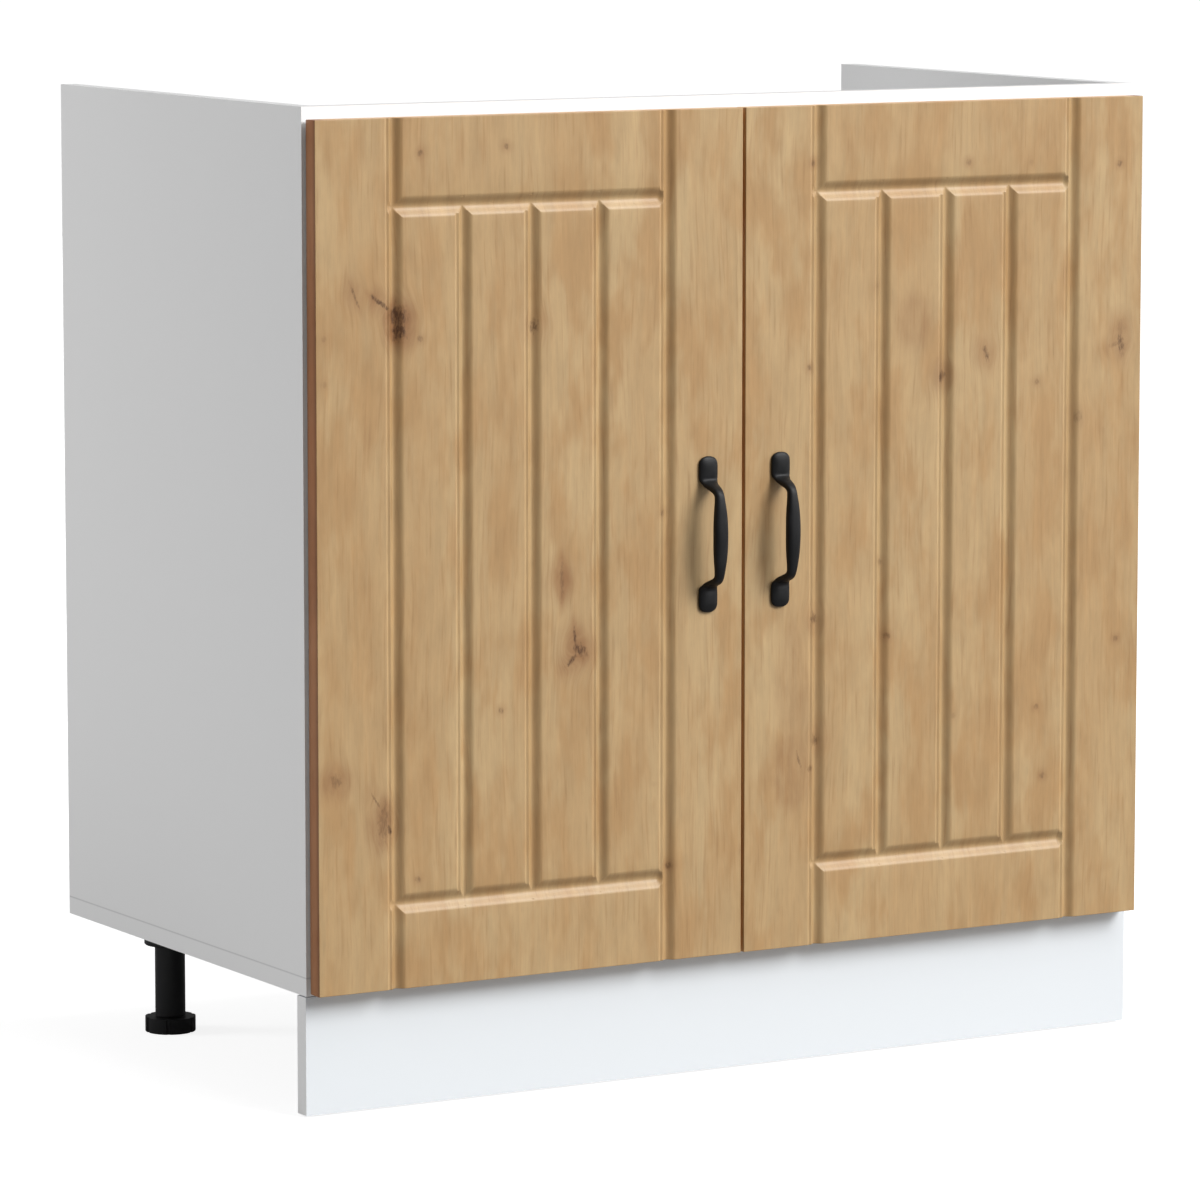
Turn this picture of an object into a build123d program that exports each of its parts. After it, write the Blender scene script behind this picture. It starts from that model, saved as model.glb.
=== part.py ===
from build123d import *
import math
import os

# Sink base cabinet with two hinged doors. Millimetres, +X to the right as seen from the front, +Y to the back,
# +Z up. The origin lies on the floor, under the middle of the whole cabinet, handles included.
# Hinge sizes use u, from a side's outer face inwards, v, from the carcass front backwards, and w, up from the
# hinge's own height. Pieces of a hinge are drawn for the left side in u, v, w and mirrored for the right.

os.makedirs("parts", exist_ok=True)

# ------------------------------------------------------------------ driving dimensions
# carcass
WIDTH = 800.0
CARCASS_DEPTH = 442.0
SIDE_HEIGHT = 700.0
LEG_HEIGHT = 100.0
SIDE_T = 15.0
BOTTOM_T = 15.0
RAIL_T = 15.0
FRONT_RAIL_HEIGHT = 100.0
BACK_RAIL_HEIGHT = 100.0
BACK_RAIL_DROP = 60.0
# doors
DOOR_T = 16.0
DOOR_GAP = 2.0
DOOR_SIDE_REVEAL = 2.5
DOOR_MIDDLE_GAP = 3.0
DOOR_TOP_REVEAL = 10.0
DOOR_BOTTOM_REVEAL = 2.0
DOOR_FRONT_RADIUS = 3.0
DOOR_CORNER_RADIUS = 2.5
DOOR_BACK_RADIUS = 1.5
STILE = 71.0
RAIL_BAND_TOP = 71.0
RAIL_BAND_BOTTOM = 69.5
PLANKS = 4
GROOVE_DEPTH = 4.5
GROOVE_ANGLE = 120.0
# handles
HANDLE_FROM_EDGE = 33.5
HANDLE_CENTRE_HEIGHT = 455.0
HANDLE_LENGTH = 130.0
HANDLE_HOLE_SPREAD = 96.0
HANDLE_OUT = 26.0
PAD_WIDTH = 18.0
PAD_LENGTH = 23.0
PAD_T = 4.0
PAD_ARCH = 5.0
PAD_EDGE_RADIUS = 1.4
GRIP_WIDTH = 12.6
GRIP_DEPTH = 8.6
NECK_WIDTH = 7.4
NECK_DEPTH = 4.8
NECK_ROOT_OVERLAP = 3.0
NECK_ROOT_OUT = 2.3
NECK_ROOT_DEPTH = 3.8
NECK_LEAN = 2.0
NECK_RISE = 4.3
KNEE_LEAN = 5.5
KNEE_OUT = 15.2
KNEE_WIDTH = 7.9
KNEE_DEPTH = 5.4
SHOULDER_Z = 31.0
SHOULDER_OUT = 19.4
SHOULDER_WIDTH = 9.0
SHOULDER_DEPTH = 6.6
GRIP_END_Z = 18.0
GRIP_END_OUT = 21.1
GRIP_END_WIDTH = 11.6
GRIP_END_DEPTH = 8.1
# plinth
PLINTH_T = 15.0
PLINTH_SET_BACK = 1.0
PLINTH_TOP_GAP = 1.0
PLINTH_FLOOR_GAP = 2.0
# legs
LEG_FROM_SIDE = 68.0
LEG_FROM_FRONT = 57.0
LEG_FROM_BACK = 57.0
LEG_PLATE_R = 32.0
LEG_PLATE_T = 4.0
LEG_COLLAR_R = 22.0
LEG_COLLAR_HEIGHT = 20.0
LEG_COLLAR_EDGE = 1.0
TUBE_R = 13.0
SOCKET_R = 10.0
SPIGOT_LENGTH = 18.0
SPIGOT_CLEARANCE = 0.1
FOOT_R = 21.75
FOOT_HEIGHT = 13.0
FOOT_TUBE_GAP = 1.0
FOOT_EDGE_RADIUS = 0.8
FOOT_NOTCHES = 6
FOOT_NOTCH_R = 2.6
FOOT_NOTCH_DEPTH = 1.5
STEM_R = 8.0
STEM_LENGTH = 56.0
STEM_PITCH = 4.0
THREAD_DEPTH = 0.9
THREAD_CLEARANCE = 0.3
JOURNAL_R = 5.0
JOURNAL_LENGTH = 10.0
JOURNAL_CLEARANCE = 0.05
SHOULDER_GAP = 0.3
# plinth clips
CLIP_T = 3.0
CLIP_PLATE_WIDTH = 44.0
CLIP_PLATE_HEIGHT = 40.0
CLIP_FORK_HEIGHT = 18.0
CLIP_REACH = 8.0
CLIP_CLEARANCE = 0.3
CLIP_CENTRE_HEIGHT = 56.0
# hinges
HINGE_FROM_DOOR_BOTTOM = 105.0
HINGE_FROM_DOOR_TOP = 125.0
CUP_R = 17.5
CUP_DEPTH = 12.5
CUP_FROM_EDGE = 3.0
CUP_WALL = 1.0
CUP_FLOOR = 0.7
CUP_BOSS_WIDTH = 4.0
CUP_BOSS_R = 2.4
FLANGE_T = 1.2
FLANGE_LENGTH = 62.0
FLANGE_WIDTH = 16.0
FLANGE_CORNER_RADIUS = 5.3
FLANGE_OFFSET = 9.5
CUP_SCREW_SPREAD = 45.0
CUP_SCREW_PROUD = 0.3
PIVOT_FROM_EDGE = 6.8
PIVOT_FROM_DOOR_FRONT = 6.3
PIN_R = 1.0
PIN_CLEARANCE = 0.05
EYE_R = 1.7
ARM_T = 2.4
ARM_NECK_WIDTH = 8.0
ARM_NECK_DROP = 0.3
ARM_BEND_R = 6.0
ARM_WIDTH = 17.0
ARM_CHEEK_T = 1.5
ARM_START = 5.0
ARM_END = 62.0
ARM_CHEEK_CLEARANCE = 0.2
ARM_STAND_OFF = 3.0
ARM_WEB_U = 26.5
PLATE_SETBACK = 37.0
PLATE_WING_T = 3.0
PLATE_WING_WIDTH = 13.0
PLATE_WING_LENGTH = 48.0
PLATE_WING_CORNER_RADIUS = 3.2
PLATE_BLOCK_START = 24.0
PLATE_SCREW_SPREAD = 32.0
ARM_FIXING_SETBACK = 53.0
ARM_ADJUSTER_SETBACK = 27.5
# fasteners
CONFIRMAT_R = 3.5
CONFIRMAT_LENGTH = 50.0
CONFIRMAT_HEAD_R = 5.0
CONFIRMAT_HEAD_H = 4.0
CONFIRMATS_PER_SIDE = 3
CONFIRMAT_END_DISTANCE = 60.0
CAM_R = 7.5
CAM_LENGTH = 12.5
CAM_FROM_END = 24.0
CAM_RECESS_DEPTH = 1.0
BOLT_THREAD_R = 3.0
BOLT_THREAD_LENGTH = 11.0
BOLT_SHAFT_R = 2.5
BOLT_HEAD_R = 3.5
BOLT_HEAD_LENGTH = 3.0
BOLT_HOLE_R = 4.0
BOLT_CLEARANCE = 0.2
BOLT_FROM_RAIL_EDGE = 32.0
DOWEL_R = 4.0
DOWEL_LENGTH = 30.0
DOWEL_IN_SIDE = 12.0
DOWEL_FROM_RAIL_EDGE = 68.0
DOWEL_CHAMFER = 0.8
WOOD_SCREW_R = 1.75
WOOD_SCREW_HEAD_R = 3.5
WOOD_SCREW_HEAD_H = 1.8
LEG_SCREW_LENGTH = 15.0
LEG_SCREW_CIRCLE_R = 27.0
LEG_SCREWS = 4
LEG_SCREW_TURN = 45.0
CUP_SCREW_LENGTH = 13.0
CLIP_SCREW_LENGTH = 13.0
CLIP_SCREW_SPREAD = 28.0
EURO_SCREW_R = 3.0
EURO_SCREW_LENGTH = 14.0
EURO_SCREW_HEAD_R = 4.0
EURO_SCREW_HEAD_H = 1.8
ARM_SCREW_R = 2.5
ARM_SCREW_LENGTH = 9.0
ARM_SCREW_HEAD_R = 4.0
ARM_SCREW_HEAD_H = 2.2
HANDLE_SCREW_R = 2.0
HANDLE_SCREW_HEAD_R = 4.0
HANDLE_SCREW_HEAD_H = 2.2
HANDLE_SCREW_IN_PAD = 3.0
RECESS_WIDTH = 1.1
RECESS_LENGTH_SHARE = 0.6
RECESS_DEPTH_SHARE = 1.2

# ------------------------------------------------------------------ places that follow from them
FRONT = -(CARCASS_DEPTH - DOOR_GAP - DOOR_T - HANDLE_OUT) / 2
BACK = FRONT + CARCASS_DEPTH
HALF = WIDTH / 2
INNER_HALF = HALF - SIDE_T
BOTTOM_Z = LEG_HEIGHT
SIDE_Z = BOTTOM_Z + BOTTOM_T
TOP_Z = SIDE_Z + SIDE_HEIGHT
DOOR_BACK_V = -DOOR_GAP
DOOR_FRONT_V = DOOR_BACK_V - DOOR_T
DOOR_Z0 = BOTTOM_Z + DOOR_BOTTOM_REVEAL
DOOR_Z1 = TOP_Z - DOOR_TOP_REVEAL
DOOR_X0 = HALF - DOOR_SIDE_REVEAL
DOOR_X1 = DOOR_MIDDLE_GAP / 2
FRONT_RAIL_Z = TOP_Z - FRONT_RAIL_HEIGHT
BACK_RAIL_Z = TOP_Z - BACK_RAIL_DROP - BACK_RAIL_HEIGHT
LEG_X = HALF - LEG_FROM_SIDE
LEG_Y = {"front": FRONT + LEG_FROM_FRONT, "back": BACK - LEG_FROM_BACK}
TUBE_Z0 = FOOT_HEIGHT + FOOT_TUBE_GAP
TUBE_Z1 = BOTTOM_Z - LEG_PLATE_T
STEM_Z0 = FOOT_HEIGHT + SHOULDER_GAP
HINGE_Z = {"lower": DOOR_Z0 + HINGE_FROM_DOOR_BOTTOM, "upper": DOOR_Z1 - HINGE_FROM_DOOR_TOP}
CUP_U = DOOR_SIDE_REVEAL + CUP_FROM_EDGE + CUP_R
PIVOT_U = DOOR_SIDE_REVEAL + PIVOT_FROM_EDGE
PIVOT_V = DOOR_FRONT_V + PIVOT_FROM_DOOR_FRONT
ARM_WEB_U0 = ARM_WEB_U - ARM_T / 2
ARM_WEB_U1 = ARM_WEB_U + ARM_T / 2
HANDLE_X = DOOR_X1 + HANDLE_FROM_EDGE
DOOR_FRONT_Y = FRONT + DOOR_FRONT_V
DOOR_BACK_Y = FRONT + DOOR_BACK_V

PARTS = {}


# ------------------------------------------------------------------ small helpers
def block(x0, x1, y0, y1, z0, z1):
    """A box between two corners."""
    size = Box(x1 - x0, y1 - y0, z1 - z0)
    return Pos((x0 + x1) / 2, (y0 + y1) / 2, (z0 + z1) / 2) * size


def rod(start, direction, radius, length):
    """A round bar from a point along a direction."""
    plane = Plane(origin=start, z_dir=direction)
    return plane * Pos(0, 0, length / 2) * Cylinder(radius, length)


def screw_blank(start, direction, radius, length, head_r, head_h):
    """A screw without its drive: the head's top lies at start, and length is measured from there."""
    head = rod(start, direction, head_r, head_h)
    shank = rod(start, direction, radius, length)
    return head + shank


def screw(start, direction, radius, length, head_r, head_h):
    """A screw with a cross recess in its head."""
    blank = screw_blank(start, direction, radius, length, head_r, head_h)
    plane = Plane(origin=start, z_dir=direction)
    deep = head_h * RECESS_DEPTH_SHARE
    for turn in (0, 90):
        slot = Box(2 * head_r * RECESS_LENGTH_SHARE, RECESS_WIDTH, 2 * deep)
        blank -= plane * Rot(0, 0, turn) * slot
    return blank


def single(shape):
    """The one solid of a shape."""
    solids = shape.solids()
    if len(solids) != 1:
        raise ValueError(f"expected one solid, got {len(solids)}")
    return solids[0]


def several(shapes):
    """Separate solids that share a node."""
    return Compound(children=[single(shape) for shape in shapes])


def on_side(shape, side):
    """Places a shape drawn on the left side, or mirrors it to the right."""
    return shape if side == "left" else mirror(shape, about=Plane.YZ)


def hinge_place(height):
    """Where u, v, w of a left hinge at this height start from."""
    return Pos(-HALF, FRONT, height)


# ------------------------------------------------------------------ fasteners' places
def confirmat_places(side):
    sign = -1 if side == "left" else 1
    span = CARCASS_DEPTH - 2 * CONFIRMAT_END_DISTANCE
    step = span / (CONFIRMATS_PER_SIDE - 1)
    x = sign * (HALF - SIDE_T / 2)
    return [(x, FRONT + CONFIRMAT_END_DISTANCE + i * step, BOTTOM_Z) for i in range(CONFIRMATS_PER_SIDE)]


def confirmat(place, shape=screw):
    return shape(place, (0, 0, 1), CONFIRMAT_R, CONFIRMAT_LENGTH, CONFIRMAT_HEAD_R, CONFIRMAT_HEAD_H)


def leg_screw_places(row, side):
    x = -LEG_X if side == "left" else LEG_X
    turns = [math.radians(LEG_SCREW_TURN + 360 * i / LEG_SCREWS) for i in range(LEG_SCREWS)]
    z = BOTTOM_Z - LEG_PLATE_T
    return [
        (x + LEG_SCREW_CIRCLE_R * math.cos(a), LEG_Y[row] + LEG_SCREW_CIRCLE_R * math.sin(a), z)
        for a in turns
    ]


def leg_screw(place, shape=screw):
    return shape(
        place, (0, 0, 1), WOOD_SCREW_R, LEG_SCREW_LENGTH, WOOD_SCREW_HEAD_R, WOOD_SCREW_HEAD_H
    )


def plate_screws(shape=screw):
    """The two screws of a left mounting plate, in u, v, w."""
    start = SIDE_T + PLATE_WING_T + EURO_SCREW_HEAD_H
    length = EURO_SCREW_LENGTH + EURO_SCREW_HEAD_H
    return [
        shape(
            (start, PLATE_SETBACK, w), (-1, 0, 0), EURO_SCREW_R, length, EURO_SCREW_HEAD_R, EURO_SCREW_HEAD_H
        )
        for w in (-PLATE_SCREW_SPREAD / 2, PLATE_SCREW_SPREAD / 2)
    ]


def arm_screws(shape=screw):
    """The fixing screw and the side adjuster of a left hinge arm, in u, v, w."""
    start = ARM_WEB_U1 + ARM_SCREW_HEAD_H
    length = ARM_SCREW_LENGTH + ARM_SCREW_HEAD_H
    return [
        shape((start, v, 0), (-1, 0, 0), ARM_SCREW_R, length, ARM_SCREW_HEAD_R, ARM_SCREW_HEAD_H)
        for v in (ARM_ADJUSTER_SETBACK, ARM_FIXING_SETBACK)
    ]


def cup_screws(shape=screw):
    """The two screws of a left cup, in u, v, w."""
    start = DOOR_BACK_V + FLANGE_T + CUP_SCREW_PROUD
    return [
        shape(
            (CUP_U + FLANGE_OFFSET, start, w), (0, -1, 0), WOOD_SCREW_R, CUP_SCREW_LENGTH,
            WOOD_SCREW_HEAD_R, WOOD_SCREW_HEAD_H,
        )
        for w in (-CUP_SCREW_SPREAD / 2, CUP_SCREW_SPREAD / 2)
    ]


def handle_screws(shape=screw):
    """The two screws of the left door's handle."""
    start = DOOR_BACK_Y + HANDLE_SCREW_HEAD_H
    length = HANDLE_SCREW_HEAD_H + DOOR_T + HANDLE_SCREW_IN_PAD
    return [
        shape(
            (-HANDLE_X, start, HANDLE_CENTRE_HEIGHT + dz), (0, -1, 0), HANDLE_SCREW_R, length,
            HANDLE_SCREW_HEAD_R, HANDLE_SCREW_HEAD_H,
        )
        for dz in (-HANDLE_HOLE_SPREAD / 2, HANDLE_HOLE_SPREAD / 2)
    ]


def clip_screws(shape=screw):
    """The two screws of the left plinth clip."""
    start = FRONT + PLINTH_SET_BACK + PLINTH_T + CLIP_T
    return [
        shape(
            (-LEG_X, start, CLIP_CENTRE_HEIGHT + dz), (0, -1, 0), WOOD_SCREW_R, CLIP_SCREW_LENGTH,
            WOOD_SCREW_HEAD_R, WOOD_SCREW_HEAD_H,
        )
        for dz in (-CLIP_SCREW_SPREAD / 2, CLIP_SCREW_SPREAD / 2)
    ]


# ------------------------------------------------------------------ rail joints: cam, bolt and dowel
def rail_joint(rail_y0, rail_z0, inner_face_y, inward):
    """Pieces and holes of a rail's left end. inward points out of the rail's inner face."""
    y = rail_y0 + RAIL_T / 2
    bolt_z = rail_z0 + BOLT_FROM_RAIL_EDGE
    dowel_z = rail_z0 + DOWEL_FROM_RAIL_EDGE
    face = -INNER_HALF
    into_rail = (1, 0, 0)
    thread = rod((face - BOLT_THREAD_LENGTH, y, bolt_z), into_rail, BOLT_THREAD_R, BOLT_THREAD_LENGTH)
    shaft = rod((face, y, bolt_z), into_rail, BOLT_SHAFT_R, CAM_FROM_END)
    head_x = face + CAM_FROM_END - BOLT_HEAD_LENGTH / 2
    head = rod((head_x, y, bolt_z), into_rail, BOLT_HEAD_R, BOLT_HEAD_LENGTH)
    bolt = thread + shaft + head
    bolt_hole = rod((face, y, bolt_z), into_rail, BOLT_HOLE_R, CAM_FROM_END)
    cam_hole = rod((face + CAM_FROM_END, inner_face_y, bolt_z), (0, -inward, 0), CAM_R, CAM_LENGTH)
    throat_r = BOLT_HEAD_R + BOLT_CLEARANCE
    throat_length = CAM_R + BOLT_HEAD_LENGTH / 2 + BOLT_CLEARANCE
    throat = rod((face + CAM_FROM_END - CAM_R, y, bolt_z), into_rail, throat_r, throat_length)
    cam = cam_hole - throat
    for turn in (0, 90):
        slot = Rot(0, turn, 0) * Box(CAM_R, 2 * CAM_RECESS_DEPTH, RECESS_WIDTH)
        cam -= Pos(face + CAM_FROM_END, inner_face_y, bolt_z) * slot
    dowel = rod((face - DOWEL_IN_SIDE, y, dowel_z), into_rail, DOWEL_R, DOWEL_LENGTH)
    dowel_hole = dowel
    dowel = chamfer(dowel.edges(), DOWEL_CHAMFER)
    return {
        "bolt": bolt, "cam": cam, "dowel": dowel,
        "side_holes": thread + dowel_hole, "rail_holes": bolt_hole + cam_hole + dowel_hole,
    }


FRONT_JOINT = rail_joint(FRONT, FRONT_RAIL_Z, FRONT + RAIL_T, 1)
BACK_JOINT = rail_joint(BACK - RAIL_T, BACK_RAIL_Z, BACK - RAIL_T, -1)


# ------------------------------------------------------------------ carcass
def side_panel(side):
    panel = block(-HALF, -INNER_HALF, FRONT, BACK, SIDE_Z, TOP_Z)
    for joint in (FRONT_JOINT, BACK_JOINT):
        panel -= joint["side_holes"]
    for place in confirmat_places("left"):
        panel -= confirmat(place, screw_blank)
    for height in HINGE_Z.values():
        for hole in plate_screws(screw_blank):
            panel -= hinge_place(height) * hole
    return on_side(panel, side)


def bottom_panel():
    panel = block(-HALF, HALF, FRONT, BACK, BOTTOM_Z, SIDE_Z)
    for side in ("left", "right"):
        for place in confirmat_places(side):
            panel -= confirmat(place, screw_blank)
        for row in LEG_Y:
            for place in leg_screw_places(row, side):
                panel -= leg_screw(place, screw_blank)
    return panel


def rail(y0, z0, height, joint):
    board = block(-INNER_HALF, INNER_HALF, y0, y0 + RAIL_T, z0, z0 + height)
    for side in ("left", "right"):
        board -= on_side(joint["rail_holes"], side)
    return board


for side in ("left", "right"):
    PARTS[f"side_panel_{side}"] = single(side_panel(side))
PARTS["bottom_panel"] = single(bottom_panel())
PARTS["front_rail"] = single(rail(FRONT, FRONT_RAIL_Z, FRONT_RAIL_HEIGHT, FRONT_JOINT))
PARTS["back_rail"] = single(rail(BACK - RAIL_T, BACK_RAIL_Z, BACK_RAIL_HEIGHT, BACK_JOINT))
for name, key in (("cam_locks", "cam"), ("cam_bolts", "bolt"), ("wooden_dowels", "dowel")):
    pieces = [on_side(joint[key], side) for joint in (FRONT_JOINT, BACK_JOINT) for side in ("left", "right")]
    PARTS[name] = several(pieces)
PARTS["bottom_screws"] = several(
    [confirmat(place) for side in ("left", "right") for place in confirmat_places(side)]
)


# ------------------------------------------------------------------ legs
def leg_plate(x, y):
    """The flange under the bottom panel, with the collar and the spigot that the tube is pushed between."""
    plate = rod((x, y, BOTTOM_Z), (0, 0, -1), LEG_PLATE_R, LEG_PLATE_T)
    collar = rod((x, y, TUBE_Z1), (0, 0, -1), LEG_COLLAR_R, LEG_COLLAR_HEIGHT)
    collar = chamfer(collar.edges().filter_by(GeomType.CIRCLE).sort_by(Axis.Z)[0], LEG_COLLAR_EDGE)
    collar -= rod((x, y, TUBE_Z1), (0, 0, -1), TUBE_R + SPIGOT_CLEARANCE, LEG_COLLAR_HEIGHT)
    spigot = rod((x, y, TUBE_Z1), (0, 0, -1), SOCKET_R - SPIGOT_CLEARANCE, SPIGOT_LENGTH)
    return plate + collar + spigot


def leg_tube(x, y):
    """The tube, threaded inside below the spigot's socket."""
    bore_r = STEM_R + THREAD_CLEARANCE
    tube = rod((x, y, TUBE_Z0), (0, 0, 1), TUBE_R, TUBE_Z1 - TUBE_Z0)
    tube -= rod((x, y, TUBE_Z0), (0, 0, 1), bore_r, TUBE_Z1 - TUBE_Z0)
    tube -= rod((x, y, TUBE_Z1), (0, 0, -1), SOCKET_R, SPIGOT_LENGTH + SHOULDER_GAP)
    return tube


def foot_stem(x, y):
    """The threaded stem, its thread as rings, with the journal that the foot turns on."""
    turns = int((STEM_LENGTH - STEM_PITCH) / STEM_PITCH)
    root_r = STEM_R - THREAD_DEPTH
    points = [(0, 0), (root_r, 0)]
    for i in range(turns):
        z = (i + 0.5) * STEM_PITCH
        points += [(root_r, z), (STEM_R, z + STEM_PITCH / 4)]
        points += [(STEM_R, z + STEM_PITCH / 2), (root_r, z + 3 * STEM_PITCH / 4)]
    points += [(root_r, STEM_LENGTH), (0, STEM_LENGTH)]
    profile = make_face(Plane.XZ * Polyline(points, close=True))
    stem = Pos(x, y, STEM_Z0) * revolve(profile, Axis.Z)
    return stem + rod((x, y, STEM_Z0), (0, 0, -1), JOURNAL_R, JOURNAL_LENGTH + SHOULDER_GAP)


def foot(x, y):
    """The foot, with grip notches round its rim and a blind hole for the stem's journal."""
    disc = Pos(x, y, FOOT_HEIGHT / 2) * Cylinder(FOOT_R, FOOT_HEIGHT)
    low_edge = disc.edges().filter_by(GeomType.CIRCLE).sort_by(Axis.Z)[0]
    disc = fillet(low_edge, FOOT_EDGE_RADIUS)
    reach = FOOT_R + FOOT_NOTCH_R - FOOT_NOTCH_DEPTH
    for i in range(FOOT_NOTCHES):
        turn = math.radians(360 * i / FOOT_NOTCHES)
        centre = (x + reach * math.cos(turn), y + reach * math.sin(turn), 0)
        disc -= rod(centre, (0, 0, 1), FOOT_NOTCH_R, FOOT_HEIGHT)
    hole_depth = JOURNAL_LENGTH + SHOULDER_GAP
    return disc - rod((x, y, FOOT_HEIGHT), (0, 0, -1), JOURNAL_R + JOURNAL_CLEARANCE, hole_depth)


leg_screws = []
for row, y in LEG_Y.items():
    for side in ("left", "right"):
        x = -LEG_X if side == "left" else LEG_X
        plate = leg_plate(x, y)
        for place in leg_screw_places(row, side):
            plate -= leg_screw(place, screw_blank)
            leg_screws.append(leg_screw(place))
        PARTS[f"leg_plate_{row}_{side}"] = single(plate)
        PARTS[f"leg_tube_{row}_{side}"] = single(leg_tube(x, y))
        PARTS[f"foot_stem_{row}_{side}"] = single(foot_stem(x, y))
        PARTS[f"foot_{row}_{side}"] = single(foot(x, y))
PARTS["leg_plate_screws"] = several(leg_screws)


# ------------------------------------------------------------------ plinth
def plinth():
    y0 = FRONT + PLINTH_SET_BACK
    board = block(-HALF, HALF, y0, y0 + PLINTH_T, PLINTH_FLOOR_GAP, BOTTOM_Z - PLINTH_TOP_GAP)
    for side in ("left", "right"):
        for hole in clip_screws(screw_blank):
            board -= on_side(hole, side)
    return board


def plinth_clip(side):
    """A plate on the plinth's back with a fork that holds the front leg's tube."""
    y0 = FRONT + PLINTH_SET_BACK + PLINTH_T
    y1 = y0 + CLIP_T
    leg_y = LEG_Y["front"]
    inner = TUBE_R + CLIP_CLEARANCE
    outer = inner + CLIP_T
    half_plate = CLIP_PLATE_WIDTH / 2
    z0 = CLIP_CENTRE_HEIGHT - CLIP_PLATE_HEIGHT / 2
    z1 = CLIP_CENTRE_HEIGHT - CLIP_FORK_HEIGHT / 2
    plate = block(-LEG_X - half_plate, -LEG_X + half_plate, y0, y1, z0, z0 + CLIP_PLATE_HEIGHT)
    fork = block(-LEG_X - outer, -LEG_X + outer, y1, leg_y + CLIP_REACH, z1, z1 + CLIP_FORK_HEIGHT)
    fork -= rod((-LEG_X, leg_y, z1), (0, 0, 1), inner, CLIP_FORK_HEIGHT)
    mouth = block(-LEG_X - inner, -LEG_X + inner, leg_y, BACK, z1, z1 + CLIP_FORK_HEIGHT)
    window_y1 = leg_y - inner - CLIP_T
    window = block(-LEG_X - inner, -LEG_X + inner, y1, window_y1, z1, z1 + CLIP_FORK_HEIGHT)
    clip = plate + (fork - mouth - window)
    for hole in clip_screws(screw_blank):
        clip -= hole
    return on_side(clip, side)


PARTS["plinth"] = single(plinth())
for side in ("left", "right"):
    PARTS[f"plinth_clip_{side}"] = single(plinth_clip(side))
PARTS["plinth_clip_screws"] = several(
    [on_side(shape, side) for side in ("left", "right") for shape in clip_screws()]
)


# ------------------------------------------------------------------ hinges
def cup_outside():
    """The space a left cup takes in its door, in u, v, w."""
    return rod((CUP_U, DOOR_BACK_V, 0), (0, -1, 0), CUP_R, CUP_DEPTH)


def hinge_cup():
    """A left hinge cup with its flange and the two bosses that hold the pin, in u, v, w."""
    inside = rod((CUP_U, DOOR_BACK_V, 0), (0, -1, 0), CUP_R - CUP_WALL, CUP_DEPTH - CUP_FLOOR)
    cup = cup_outside() - inside
    flange_u = CUP_U + FLANGE_OFFSET
    half_u, half_w = FLANGE_WIDTH / 2, FLANGE_LENGTH / 2
    flange = block(
        flange_u - half_u, flange_u + half_u, DOOR_BACK_V, DOOR_BACK_V + FLANGE_T, -half_w, half_w
    )
    flange = fillet(flange.edges().filter_by(Axis.Y), FLANGE_CORNER_RADIUS)
    opening = rod((CUP_U, DOOR_BACK_V, 0), (0, 1, 0), CUP_R - CUP_WALL, FLANGE_T)
    cup += flange - opening
    floor_v = DOOR_BACK_V - CUP_DEPTH
    w0 = ARM_NECK_WIDTH / 2 + ARM_CHEEK_CLEARANCE + PIN_CLEARANCE
    for sign in (-1, 1):
        low, high = sorted((sign * w0, sign * (w0 + CUP_BOSS_WIDTH)))
        boss = block(PIVOT_U - CUP_R, PIVOT_U + CUP_BOSS_R, floor_v, PIVOT_V, low, high)
        boss += block(PIVOT_U - CUP_R, PIVOT_U, floor_v, PIVOT_V + CUP_BOSS_R, low, high)
        boss += rod((PIVOT_U, PIVOT_V, low), (0, 0, 1), CUP_BOSS_R, CUP_BOSS_WIDTH)
        cup += boss & cup_outside()
    cup -= hinge_pin()
    for hole in cup_screws(screw_blank):
        cup -= hole
    return cup


def hinge_pin():
    """The pin through the cup's bosses and the arm's eye, in u, v, w."""
    w0 = ARM_NECK_WIDTH / 2 + ARM_CHEEK_CLEARANCE + PIN_CLEARANCE
    half = w0 + CUP_BOSS_WIDTH
    return rod((PIVOT_U, PIVOT_V, -half), (0, 0, 1), PIN_R, 2 * half)


def arm_strip():
    """The side outline of the arm's neck: along the cup's floor, round a bend and up to the channel."""
    half_t = ARM_T / 2
    run_v = PIVOT_V - ARM_NECK_DROP
    bend_u = ARM_WEB_U - ARM_BEND_R
    bend_v = run_v + ARM_BEND_R
    end_v = ARM_START + half_t
    outer_r = ARM_BEND_R + half_t
    inner_r = ARM_BEND_R - half_t
    edges = [
        Line((PIVOT_U, run_v - half_t), (bend_u, run_v - half_t)),
        RadiusArc((bend_u, run_v - half_t), (ARM_WEB_U1, bend_v), -outer_r),
        Line((ARM_WEB_U1, bend_v), (ARM_WEB_U1, end_v)),
        Line((ARM_WEB_U1, end_v), (ARM_WEB_U0, end_v)),
        Line((ARM_WEB_U0, end_v), (ARM_WEB_U0, bend_v)),
        RadiusArc((ARM_WEB_U0, bend_v), (bend_u, run_v + half_t), inner_r),
        Line((bend_u, run_v + half_t), (PIVOT_U, run_v + half_t)),
        Line((PIVOT_U, run_v + half_t), (PIVOT_U, run_v - half_t)),
    ]
    return make_face(edges)


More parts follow.
